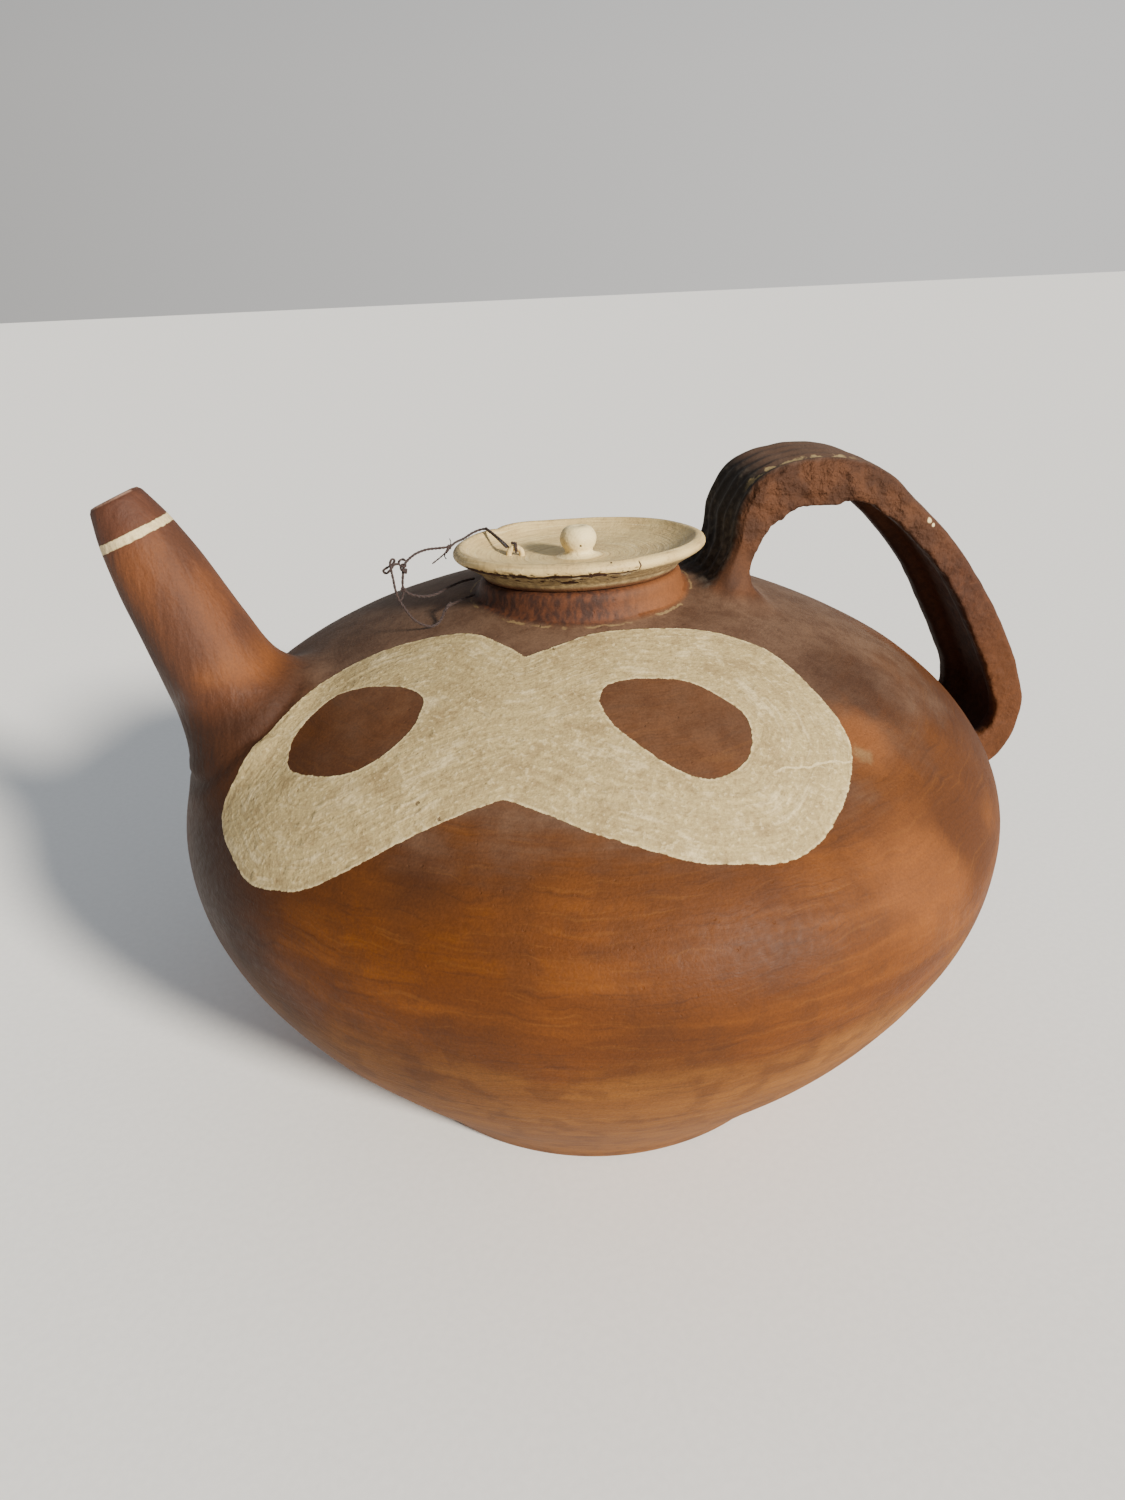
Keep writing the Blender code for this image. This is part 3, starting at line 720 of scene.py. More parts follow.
def draw_out(mesh, reach, limit=1.0):
    """Moves each point of a mesh outwards where the body's wall comes near."""
    points = points_of(mesh)
    drawn = swell(from_body(points)[0], reach) * limit
    set_points(mesh, points + normals_of(mesh) * drawn[:, None])


def cut_and_join(name, body, additions, cutters=()):
    """One closed mesh: the body with its additions, less the cutters."""
    base = placed(name + "_base", body)
    helpers = []
    for operation, meshes in (("UNION", additions), ("DIFFERENCE", cutters)):
        for mesh in meshes:
            helper = placed(mesh.name + "_helper", mesh)
            tool = base.modifiers.new(mesh.name, "BOOLEAN")
            tool.solver = "MANIFOLD"
            tool.operation = operation
            tool.object = helper
            helpers.append(helper)
    made = made_mesh(base, name)
    for helper in helpers:
        bpy.data.objects.remove(helper, do_unlink=True)
    return made


def finished_piece(name, mesh, finish):
    """A mesh with its one finish, placed as a visible piece."""
    mesh.materials.clear()
    mesh.materials.append(finish)
    mesh.shade_smooth()
    return placed(name, mesh)


def ease_seams(mesh, weight):
    """Smooths the points where two walls were joined; weight is 0 to 1 at each point."""
    shape = bmesh.new()
    shape.from_mesh(mesh)
    bmesh.ops.remove_doubles(shape, verts=shape.verts, dist=SEAM_WELD)
    shape.to_mesh(mesh)
    shape.free()
    points = points_of(mesh)
    edges = np.empty(len(mesh.edges) * 2, dtype=np.int64)
    mesh.edges.foreach_get("vertices", edges)
    edges = edges.reshape(-1, 2)
    share = weight(points)
    degree = np.bincount(edges.ravel(), minlength=len(points))[:, None]
    for _ in range(SEAM_ROUNDS):
        total = np.zeros_like(points)
        np.add.at(total, edges[:, 0], points[edges[:, 1]])
        np.add.at(total, edges[:, 1], points[edges[:, 0]])
        points += share[:, None] * SEAM_EASE * (total / np.maximum(degree, 1) - points)
    set_points(mesh, points)


def from_outline(points, outline):
    """How far each flat point is from a closed outline: positive inside."""
    edge = np.roll(outline, -1, axis=0) - outline
    gap = nearest_edge(points, outline, edge)[2]
    inside = np.zeros(len(points), dtype=bool)
    for (x, y), (run, rise) in zip(outline, edge):
        level = (y > points[:, 1]) != (y + rise > points[:, 1])
        inside ^= level & (points[:, 0] < x + (points[:, 1] - y) * run / (rise or TINY))
    return np.where(inside, gap, -gap)


def painted(points, reach):
    """Distance inside the painted figure, and distance inside its outer line."""
    angle = np.arctan2(points[:, 1], points[:, 0])
    flat = np.stack([np.cos(angle), np.sin(angle)], axis=1) * reach[:, None]
    paint = np.full(len(points), -PAINT_FAR)
    rim = np.full(len(points), -PAINT_FAR)
    chosen = (points[:, 1] < PAINT_BACK) & (points[:, 2] > PAINT_LOWEST)
    outlines = (smooth_curve(np.array(line) * MM, count, closed=True)[:-1]
                for line, count in ((EIGHT, 300), (LEFT_OVAL, 110), (RIGHT_OVAL, 110)))
    eight, left, right = (from_outline(flat[chosen], outline) for outline in outlines)
    paint[chosen] = np.minimum(eight, np.minimum(-left, -right))
    rim[chosen] = eight
    return np.clip(paint, -PAINT_FAR, PAINT_FAR), np.clip(rim, -PAINT_FAR, RIM_FAR)


def pot(tree, clay):
    """The whole fired pot as one closed skin, hollow, with the values its finish reads."""
    body = turned(tree, "pot_wall", outer_profile(60), around=400, along=184, finish=clay, crowding=0.28)
    spout = turned(tree, "pot_spout", spout_profile(), around=96, along=84, finish=clay, place=spout_place())
    collar = turned(tree, "pot_collar", collar_profile(), around=150, along=46, finish=clay,
                    place=neck_place())
    rings, values = strap_handle()
    plain_handle = skin("plain_handle", rings, clay)
    handle = skin("pot_handle", torn(rings, values), clay)

    wall = points_of(body)
    near_handle = (wall[:, 0] > 0.02) & (wall[:, 2] > HANDLE_LOWEST)
    to_handle = from_surface(wall, plain_handle, HANDLE_FILLET, near_handle)
    to_collar = from_surface(wall, collar, COLLAR_FILLET, wall[:, 2] > NECK_LOWEST)
    faces_out = normals_of(body)
    drawn = (swell(from_spout(wall)[0], SPOUT_FILLET) * squareness(wall, faces_out, from_spout)
             + swell(to_handle, HANDLE_FILLET) + swell(to_collar, COLLAR_FILLET))
    set_points(body, wall + faces_out * drawn[:, None])
    draw_out(spout, SPOUT_FILLET, squareness(points_of(spout), normals_of(spout), from_body))
    draw_out(handle, HANDLE_FILLET)
    draw_out(collar, COLLAR_FILLET)

    cavity = turned(tree, "cavity", inner_profile(24), around=96, along=60, finish=clay)
    neck_bore = turned(tree, "neck_bore", neck_bore_profile(), around=120, along=40, finish=clay,
                       place=neck_place())
    spout_bore = turned(tree, "spout_bore", spout_bore_profile(), around=64, along=60, finish=clay,
                        place=spout_place())
    for mesh in (body, spout, collar, handle, cavity, neck_bore, spout_bore):
        outwards(mesh)
    made = cut_and_join("pot_body_fine", body, (spout, collar, handle), (cavity, neck_bore, spout_bore))

    def seam(points):
        to_wall = from_body(points)[0]
        to_spout = np.abs(from_spout(points)[0] - to_wall)
        share = 1.0 - smooth_step(to_spout, SEAM_CORE, SEAM_EDGE)
        share *= 1.0 - smooth_step(to_wall, 0.008, 0.014)
        close = (points[:, 0] > 0.03) & (np.abs(to_wall) < 0.016) & (points[:, 2] > HANDLE_LOWEST)
        to_strap = np.abs(from_surface(points, plain_handle, 0.02, close) - to_wall)
        strap = (1.0 - smooth_step(to_strap, SEAM_CORE, SEAM_EDGE)) * close
        return np.maximum(share, strap) * (to_wall > 0.0005)

    ease_seams(made, seam)
    uneven(made)
    give_values(made, plain_handle, rings, values)
    bpy.data.meshes.remove(plain_handle)
    return finished_piece("pot_body_fine", made, clay)


def uneven(mesh):
    """The soft unevenness of a pot built by hand, kept off its base and off the lid's seat."""
    points = points_of(mesh)
    lift = 0.0005 * rough(points, 0.07, 2, 1.0) + 0.00012 * rough(points, 0.022, 2, 4.0)
    seat = (points[:, 2] > SEAT_LOWEST) & (np.hypot(points[:, 0], points[:, 1]) < SEAT_REACH)
    steady = smooth_step(points[:, 2], 0.001, 0.012) * np.where(seat, 0.0, 1.0)
    set_points(mesh, points + normals_of(mesh) * (lift * steady)[:, None])


def give_values(mesh, plain_handle, rings, values):
    """What the clay's finish reads at each point: paint, spout, strap and bare inside."""
    points = points_of(mesh)
    to_wall, reach = from_body(points)
    to_spout, depth = from_spout(points)
    paint, rim = painted(points, reach)
    close = (points[:, 0] > 0.03) & (points[:, 2] > HANDLE_LOWEST) & (to_wall > -0.004)
    strap = 1.0 - smooth_step(from_surface(points, plain_handle, 0.03, close), 0.0025, 0.02)
    flat_values = values.reshape(-1, 3)
    near_strap = KDTree(len(flat_values))
    for i, point in enumerate(rings.reshape(-1, 3)):
        near_strap.insert(point, i)
    near_strap.balance()
    on_strap = np.zeros((len(points), 3))
    for i in np.nonzero(strap)[0]:
        on_strap[i] = flat_values[near_strap.find(points[i])[1]]
    fields = {
        "paint": np.minimum(paint, 0.014 - np.abs(to_wall)),
        "paint_rim": rim,
        "wall_reach": reach,
        "spout_near": np.clip(1.0 - to_spout / 0.02, 0.0, 1.0) * (to_spout > -0.002),
        "spout_depth": np.where(to_spout < 0.03, np.minimum(depth, SPOUT_LENGTH), SPOUT_LENGTH),
        "strap": strap,
        "strap_run": on_strap[:, 0],
        "strap_across": on_strap[:, 1],
        "strap_out": on_strap[:, 2],
        "bare_inside": smooth_step(-to_wall, 0.003, 0.006) * (to_spout > -0.05),
    }
    for name, value in fields.items():
        field = mesh.attributes.new(name, "FLOAT", "POINT")
        field.data.foreach_set("value", np.ascontiguousarray(value, dtype=np.float32))


# The lid

def lid_profile():
    """The lid's outline as (radius, height above its crest), from the top of the knob to its underside."""
    knob = [(0.0, 6.0), (4.5, 6.5), (7.5, 5.0), (9.3, 1.5), (9.3, -1.0), (8.4, -3.5), (7.25, -5.2),
            (7.7, -7.2)]
    dish = [(13.95, -8.8), (25.3, -8.4), (39.8, -7.2), (50.0, -5.0), (57.0, -2.0)]
    lip = [(60.3, 0.0), (62.9, -0.6), (64.3, -1.8), (64.7, -3.2), (63.9, -4.9), (61.2, -6.8)]
    under = [(57.0, -9.2), (52.5, -12.0), (49.5, -15.8)]
    seat = [(44.5, -15.8), (43.5, -19.5), (41.5, -21.0), (0.0, -21.0)]
    rounded = smooth_curve(np.array(knob + dish + lip + under[:2]), 150)
    return np.vstack([rounded, under[2:] + seat]) * MM


def pierced_lug():
    """The small ring of clay that the twine is tied through."""
    turn, section = np.meshgrid(*(np.arange(steps) * math.tau / steps for steps in (40, 20)), indexing="ij")
    reach = LUG_RADIUS + LUG_HALF_THICKNESS * np.cos(section)
    rings = np.stack([reach * np.cos(turn), LUG_HALF_THICKNESS * np.sin(section), reach * np.sin(turn)],
                     axis=-1)
    lug = skin("lid_lug", rings, closed=True)
    lug.transform(Matrix.Translation((*LUG_PLACE, LUG_HEIGHT)) @ Matrix.Rotation(LUG_TURN, 4, "Z"))
    return lug


def lid(tree, slip):
    """The dished lid with its knob and pierced lug, standing on the collar."""
    mesh = turned(tree, "lid_dish", lid_profile(), around=250, along=150, finish=slip)
    points = points_of(mesh)
    angle = np.degrees(np.arctan2(points[:, 1], points[:, 0]))
    radius = np.hypot(points[:, 0], points[:, 1])
    lip = smooth_step(radius, 0.05, 0.062)
    raised = np.exp(-((angle - 110.0) / 15.0) ** 2) + 0.5 * np.exp(-((angle - 140.0) / 12.0) ** 2)
    notched = np.exp(-((angle - 123.0) / 2.5) ** 2)
    points[:, 2] += lip * (0.0012 * raised - 0.0007 * notched)
    wavy = rough(points, 0.03, 2, 6.0)
    free = smooth_step(points[:, 2], -0.015, -0.012)
    points[:, 2] += free * 0.00035 * wavy * smooth_step(radius, 0.012, 0.03)
    points[:, :2] *= (1.0 + free * lip * 0.004 * rough(points, 0.022, 2, 9.0))[:, None]
    set_points(mesh, points)
    made = cut_and_join("lid_fine", mesh, (pierced_lug(),))

    turn = Matrix.Rotation(LID_TURN, 3, "Z")
    local = points_of(made) @ np.array(turn).T
    field = made.attributes.new("lid_place", "FLOAT_VECTOR", "POINT")
    field.data.foreach_set("vector", local.astype(np.float32).ravel())
    made.transform(neck_place(SEAT_GAP + LID_SEAT_DEPTH))
    return finished_piece("lid_fine", made, slip)


# The twine

def twine_tree():
    """Lays two plies round a path: a round cord with a groove that winds along it."""
    n, known_by, given = node_group("laid_twine", "Twine", Path=("Geometry", None),
                                    Diameter=("Float", TWINE_DIAMETER), Lay=("Float", TWINE_LAY),
                                    Finish=("Material", None))

    def kept(name, geometry, value):
        feeds = {"Name": name, "Geometry": geometry, "Value": value}
        return n.node("GeometryNodeStoreNamedAttribute", feeds)

    def named(name):
        return n.node("GeometryNodeInputNamedAttribute", {"Name": name}, "Attribute")

    half = given["Diameter"] * 0.5
    line = n.node("GeometryNodeMeshToCurve", {0: given["Path"]})
    fine = n.node("GeometryNodeResampleCurve", {"Curve": line, "Length": TWINE_STEP}, mode="LENGTH")
    path = kept("laid", fine, n.node("GeometryNodeSplineParameter", output="Length"))
    circle = n.node("GeometryNodeCurvePrimitiveCircle", {"Resolution": TWINE_SIDES, "Radius": half}, "Curve")
    section = kept("round", circle, n.node("GeometryNodeSplineParameter", output="Factor"))
    tube = n.node("GeometryNodeCurveToMesh", {"Curve": path, "Profile Curve": section, "Fill Caps": True})
    around = (named("round") - named("laid") / given["Lay"]) * math.tau
    ply = abs(n.math("COSINE", around))
    fuzz = n.node("ShaderNodeTexNoise", {"Scale": 900.0, "Detail": 1.0})
    amount = (ply * 0.36 + fuzz.swing(0.34) - 0.28) * half
    push = n.node("ShaderNodeVectorMath", {0: n.node("GeometryNodeInputNormal"), "Scale": amount},
                  operation="SCALE")
    moved = n.node("GeometryNodeSetPosition", {"Geometry": kept("ply", tube, ply), "Offset": push})
    return n.close(moved, given["Finish"]), known_by


def laid_twine(tree, name, path, diameter, finish, lay=TWINE_LAY):
    """A length of twine along a line of points, as a plain mesh object."""
    made = shaped(tree, name, [tuple(p) for p in path], Diameter=diameter, Lay=lay, Finish=finish)
    made.shade_smooth()
    return placed(name, made)


def knot_path(centre, size, axis=(0.0, 0.0, 1.0)):
    """An overhand knot pulled close about a point."""
    turn = Vector(axis).to_track_quat("Z", "Y").to_matrix()
    steps = np.linspace(0.0, math.tau * 0.97, 60)
    shape = np.stack([np.sin(steps) + 2 * np.sin(2 * steps), np.cos(steps) - 2 * np.cos(2 * steps),
                      -1.3 * np.sin(3 * steps)], axis=1) * size / 3.0
    return shape @ np.array(turn).T + np.array(centre)


def twine(tree, fibre):
    """The two tied cords with their knots, loose ends and second strand."""
    main_path = smooth_curve(TWINE_ROUTE, TWINE_POINTS)
    branch_path = smooth_curve(BRANCH_ROUTE, TWINE_POINTS)
    main = laid_twine(tree, "twine_main", main_path, TWINE_DIAMETER, fibre)
    branch = laid_twine(tree, "twine_branch", branch_path, BRANCH_DIAMETER, fibre)
    tied = [laid_twine(tree, "twine_" + name, smooth_curve(points, LOOSE_POINTS), size, fibre)
            for name, (size, points) in LOOSE_TWINE.items()]
    coil = np.linspace(0.0, 1.0, 70)
    line = np.outer(1.0 - coil, BUNDLE_TOP) + np.outer(coil, BUNDLE_FOOT)
    winding = coil * math.tau * BUNDLE_TURNS
    width = 0.0017 - 0.0006 * coil
    line += np.stack([np.cos(winding) * width, np.sin(winding) * width, 0.0007 * np.sin(winding)], axis=1)
    tied.append(laid_twine(tree, "twine_bundle", line, BRANCH_DIAMETER, fibre))
    wrap = np.linspace(0.0, math.tau * LUG_TIE_TURNS, 60)
    lug_top = neck_place(SEAT_GAP + LID_SEAT_DEPTH) @ Vector((*LUG_PLACE, LUG_HEIGHT + LUG_RADIUS))
    ring = np.stack([np.cos(wrap) * 0.0004 + 0.00008 * wrap, np.cos(wrap) * 0.0022, np.sin(wrap) * 0.0024],
                    axis=1) + np.array(lug_top)
    tied.append(laid_twine(tree, "twine_lug_tie", ring, KNOT_TWINE, fibre))
    on_lug = tuple(lug_top + Vector((-0.0006, 0.001, 0.0022)))
    for name, shape in {**KNOTS, "lug_knot": (on_lug, 0.0009, (0.2, 0.3, 1.0))}.items():
        tied.append(laid_twine(tree, "twine_" + name, knot_path(*shape), KNOT_TWINE, fibre, KNOT_LAY))
    for piece in [main, branch] + tied:
        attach(piece, "root")
    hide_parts("tether_main")
    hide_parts("tether_branch")
    return [main, branch] + tied


# Finishes

class Finish(Nodes):
    """A finish being mixed, layer by layer."""

    def __init__(self, name, **sockets):
        self.material = bpy.data.materials.new(name)
        self.material.use_nodes = True
        super().__init__(self.material.node_tree)
        self.shader = self.tree.nodes["Principled BSDF"]
        for socket, value in sockets.items():
            self.shader.inputs[socket.replace("_", " ")].default_value = value
        self.place = self.node("ShaderNodeTexCoord", output="Object")

    def field(self, name, output="Fac"):
        return self.node("ShaderNodeAttribute", output=output, attribute_name=name)

    def noise(self, size, detail=2.0, stretch=(1, 1, 1), seed=0.0, place=None):
        """Clouds of a size in metres, about 0.5; a stretch over 1 makes them thinner that way."""
        spread = {"Vector": place or self.place, "Scale": [s / size for s in stretch],
                  "Location": (seed * 3.1, seed * 1.7, seed * 2.3)}
        return self.node("ShaderNodeTexNoise", {"Vector": self.node("ShaderNodeMapping", spread),
                                                "Scale": 1.0, "Detail": detail})

    def streaks(self, long, across, thin, detail=2.0, seed=0.0, place=None):
        """Fine lines that keep their distance from an edge: long one way, thin the other."""
        spread = {"Vector": place or self.place, "Scale": [1.0 / long] * 3,
                  "Location": (seed, seed * 2.0, seed * 3.0)}
        feeds = {"Vector": self.node("ShaderNodeMapping", spread), "Scale": 1.0,
                 "W": across / thin, "Detail": detail}
        return self.node("ShaderNodeTexNoise", feeds, noise_dimensions="4D")

    def cells(self, size):
        return self.node("ShaderNodeTexVoronoi", {"Vector": self.place, "Scale": 1.0 / size}, "Distance")

    def near(self, point, radius, edge=0.5, ragged=0.0, place=None):
        """One at a spot and none beyond its radius, with a soft or ragged edge."""
        gap = self.distance(place or self.place, point) + ragged
        return gap.ramp(radius, radius * (1.0 - edge))

    def spots(self, ragged, *spots):
        """The strongest of some soft spots, each given by its point, radius and strength."""
        return self.most(*(self.near(point, radius, 0.9, ragged) * share for point, radius, share in spots))

    def layers(self, base, *laid):
        """Colours laid one over another, each as far as all of its shares agree."""
        for colour, *shares in laid:
            base = self.mix(reduce(mul, shares), base, colour)
        return base

    def finished(self, colour, roughness, relief):
        """The material with this colour, roughness and relief, which is in millimetres."""
        bump = self.node("ShaderNodeBump", {"Height": relief, "Distance": MM, "Strength": 1.0})
        for name, value in (("Base Color", colour), ("Roughness", roughness), ("Normal", bump)):
            self.feed(self.shader.inputs[name], value)
        return self.material


CREAM = (0.47, 0.362, 0.172)
CREAM_SHADED = (0.37, 0.276, 0.13)
CREAM_WORN = (0.255, 0.174, 0.08)
CREAM_PALE = (0.7, 0.57, 0.32)
CLAY_BROWN = (0.108, 0.034, 0.006)
CLAY_DEEP = (0.074, 0.023, 0.005)
CLAY_DARK = (0.03, 0.011, 0.005)
CLAY_ORANGE = (0.17, 0.05, 0.004)
CLAY_AMBER = (0.104, 0.029, 0.003)
CLAY_TAN = (0.205, 0.078, 0.014)
CLAY_TAN_WIPED = (0.155, 0.056, 0.011)
CLAY_DUST = (0.14, 0.083, 0.052)
CLAY_DUST_STREAK = (0.098, 0.054, 0.033)
CLAY_TORN = (0.086, 0.034, 0.015)
CLAY_TORN_DEEP = (0.05, 0.0205, 0.01)
CLAY_GLOW = (0.235, 0.08, 0.022)
STRAP_BROWN = (0.078, 0.028, 0.0125)
STRAP_DEEP = (0.048, 0.018, 0.009)
STRAP_DUST = (0.085, 0.056, 0.04)
# Painted shade on the strap's inner leg, whose outer face is turned from the light
LEG_SHADE = (0.024, 0.0185, 0.015)
LEG_SHADE_PALE = (0.078, 0.064, 0.05)
# Painted shade on the strap's inner face, which looks towards the pot
STRAP_HOLLOW_SHADE = (0.03, 0.012, 0.007)
SPOUT_BROWN = (0.122, 0.038, 0.01)
SPOUT_DEEP = (0.07, 0.023, 0.0085)
SPOUT_TIP = (0.066, 0.021, 0.01)
SPOUT_GLOW = (0.19, 0.058, 0.009)
SPOUT_WORN_LIP = (0.26, 0.15, 0.105)
# The collar's clay, drawn darker as the lid's painted shadow, and lighter on its right as painted light
COLLAR_BROWN = (0.098, 0.03, 0.01)
COLLAR_DARK = (0.036, 0.012, 0.006)
COLLAR_PAINTED_LIGHT = (0.205, 0.07, 0.018)
CREAM_PIT = (0.09, 0.052, 0.028)
INSIDE_BROWN = (0.095, 0.036, 0.014)
INSIDE_DEEP = (0.068, 0.025, 0.01)
SLIP = (0.64, 0.48, 0.215)
SLIP_SHADED = (0.52, 0.37, 0.158)
SLIP_WIPED = (0.27, 0.185, 0.1)
SLIP_PALE = (0.8, 0.66, 0.38)
SLIP_KNOB = (0.86, 0.71, 0.39)
SLIP_UNDERSIDE_SHADE = (0.13, 0.092, 0.052)
SLIP_LEFT_END_DARK = (0.07, 0.052, 0.036)
SLIP_GRIME = (0.2, 0.14, 0.078)
SLIP_CHIP = (0.58, 0.48, 0.31)
GAP_DARK = (0.02, 0.008, 0.005)
GAP_BROWN = (0.042, 0.015, 0.008)
SEAT_BROWN = (0.12, 0.046, 0.018)
SEAT_DEEP = (0.085, 0.032, 0.013)
TWINE_GROOVE_SHADE = (0.01, 0.004, 0.003)
TWINE_BROWN = (0.026, 0.01, 0.008)
TWINE_HAIR = (0.06, 0.028, 0.017)
TWINE_PATCH = (0.052, 0.026, 0.015)


def burnished_clay():
    """Brown burnished clay with a cream painted figure and dust above, with painted shade on the strap's
    inner leg, the body's left side and the spout, and painted light and shade on the collar.
    """
    f = Finish("burnished_clay", IOR=1.45)
    right = f.place.axis("X")
    height = f.place.axis("Z")
    reach = f.field("wall_reach")
    figure = f.field("paint_rim")
    depth = f.field("spout_depth")
    cloud = f.noise(0.045, 4.0)
    broad = f.noise(0.12, 2.0, seed=4.0)
    fine = f.noise(0.0035, 3.0, seed=2.0)
    grain = f.noise(0.0011, 2.0, seed=3.0)
    blotch = f.noise(0.014, 5.0, seed=9.0)
    grit = f.noise(0.0024, 4.0, seed=16.0)
    wiping = f.streaks(0.06, reach + broad.swing(0.03), 0.008, 5.0)
    strokes = f.streaks(0.034, reach + cloud.swing(0.022), 0.0018, 4.0, seed=15.0)
    thin_wiping = f.streaks(0.018, reach + cloud.swing(0.008), 0.0013, 4.0, seed=5.0)
    ragged = cloud.swing(0.06)
    level = height + ragged + wiping.swing(0.02)

    tan = wiping.shades(0.36, 0.66, CLAY_TAN, CLAY_TAN_WIPED)
    dull_right = right.ramp(0.03, 0.17) * 0.034
    burnish = level.ramp(0.14, 0.168) * (level + dull_right).ramp(0.236, 0.196)
    polished = (wiping * 0.6 + broad * 0.4).shades(0.38, 0.6, CLAY_ORANGE, CLAY_AMBER)
    dust = (level + thin_wiping.swing(0.01)).ramp(0.222, 0.256) * figure.ramp(0.0, 0.01, 1.0, 0.42)
    dusty = (blotch * 0.6 + fine * 0.3 + thin_wiping * 0.1).shades(0.4, 0.62, CLAY_DUST, CLAY_DUST_STREAK)
    smoke = f.most(broad.ramp(0.56, 0.74) * 0.5,
                   f.spots(ragged, ((0.105, -0.095, 0.25), 0.055, 1.0), ((-0.112, -0.158, 0.22), 0.03, 0.9),
                           ((-0.15, 0.01, 0.25), 0.07, 0.5), ((0.188, -0.08, 0.212), 0.078, 0.75)))
    # painted shade: the body's left side and the spout's root, away from the light, darkened
    shade = f.most(f.near((-0.205, -0.075, 0.185), 0.125, 0.9, ragged),
                   f.near((-0.225, -0.02, 0.23), 0.07, 0.8, ragged))
    warm = f.spots(ragged, ((0.097, -0.1285, 0.2427), 0.022, 1.0), ((0.098, -0.19, 0.1985), 0.05, 0.7))
    bleached = f.near((0.0895, -0.1413, 0.239), 0.007, 0.9, fine.swing(0.008))
    fleck = f.cells(0.016).ramp(0.05, 0.025) * fine.ramp(0.48, 0.56)
    body_tone = f.layers(
        cloud.shades(0.36, 0.64, CLAY_BROWN, CLAY_DEEP),
        (tan, level.ramp(0.172, 0.128)), (polished, burnish, 0.85),
        (CLAY_DEEP, blotch.ramp(0.48, 0.64), 0.45),
        (CLAY_DARK, strokes.ramp(0.54, 0.7), 0.28), (CLAY_TAN, strokes.ramp(0.44, 0.3), 0.2),
        (dusty, dust, 0.92), (CLAY_DARK, smoke, 0.6), (CLAY_DARK, shade, 0.92), (CLAY_GLOW, warm, 0.6),
        (CREAM_WORN, bleached, 0.4), (CLAY_DARK, fleck, 0.8))

    spout = f.field("spout_near")
    drag = f.noise(0.02, 4.0, (1.0, 1.0, 0.3), 6.0)
    # painted shade down the spout's left side, away from the light
    spout_left_shade = (right + height * SPOUT_LEAN + drag.swing(0.012)).ramp(-0.094, -0.108)
    spout_tone = f.layers(
        drag.shades(0.36, 0.64, SPOUT_BROWN, SPOUT_DEEP), (SPOUT_TIP, depth.ramp(0.03, 0.01), 0.75),
        (SPOUT_GLOW, depth.ramp(0.075, 0.098), cloud.ramp(0.35, 0.55), 0.65),
        # painted shade: the spout's foot darkened all round, in the crease where it meets the body
        (CLAY_DARK, (depth + cloud.swing(0.02)).ramp(0.094, 0.112), 0.88),
        (SPOUT_WORN_LIP, depth.ramp(0.0014, 0.0004), fine.ramp(0.35, 0.55)),
        (CLAY_DARK, spout_left_shade, depth.ramp(0.02, 0.06), 0.75))

    strap = f.field("strap")
    run = f.field("strap_run")
    across = f.field("strap_across")
    outward = f.field("strap_out")
    front = (across + fine.swing(0.002)).ramp(HANDLE_FRONT + 0.005, HANDLE_FRONT + 0.0015)
    behind = 1.0 - front
    outer = outward.ramp(0.34, 0.46) * behind
    near_leg = (run + cloud.swing(0.02)).ramp(0.086, 0.064)
    torn_tone = blotch.shades(0.36, 0.64, CLAY_TORN, CLAY_TORN_DEEP)
    # painted shade: the inner leg's outer face, turned from the light, drawn dark grey
    painted_leg_shade = (fine * 0.6 + cloud * 0.4).shades(0.42, 0.66, LEG_SHADE, LEG_SHADE_PALE)
    ridge_gap = abs(across + fine.swing(0.0055) + 0.0168)
    cream_ridge = (ridge_gap.ramp(0.0024, 0.0008) * run.ramp(0.062, 0.07) * run.ramp(0.122, 0.106)
                   * f.noise(0.006, 3.0, seed=17.0).ramp(0.44, 0.54) * outer)
    specks = f.most(f.near((0.1799, -0.0269, 0.3072), 0.002), f.near((0.1823, -0.0269, 0.3044), 0.0013))
    strap_tone = f.layers(
        (fine * 0.5 + cloud * 0.5).shades(0.38, 0.62, STRAP_BROWN, STRAP_DEEP),
        (torn_tone, front, run.ramp(0.22, 0.15)), (CLAY_BROWN, front, run.ramp(0.2, 0.28), 0.5),
        (painted_leg_shade, outer, near_leg), (STRAP_DUST, outer, run.ramp(0.068, 0.082), run.ramp(0.26, 0.19), 0.7),
        (CREAM_SHADED, cream_ridge, 0.65), (CREAM_PALE, specks),
        # painted shade: the inside of the arch drawn darker
        (STRAP_HOLLOW_SHADE, outward.ramp(-0.3, -0.45), behind, 0.5))

    neck_gap = f.distance(f.place, (*NECK_SHIFT, NECK_HEIGHT))
    collar = neck_gap.ramp(0.058, 0.0545) * height.ramp(0.278, 0.2815)
    speckled = f.noise(0.0028, 4.0, (1.0, 1.0, 0.5), 8.0)
    # painted light and shade: the collar darkened for the lid's shadow and lighter on its right side
    collar_tone = f.layers(speckled.shades(0.34, 0.66, COLLAR_BROWN, COLLAR_DARK),
                           (COLLAR_PAINTED_LIGHT, right.ramp(-0.01, 0.03), 0.7))
    residue_gap = abs(neck_gap + fine.swing(0.003) - 0.0574)
    residue = residue_gap.ramp(0.0008, 0.0003) * f.noise(0.012, 2.0, seed=12.0).ramp(0.46, 0.58)

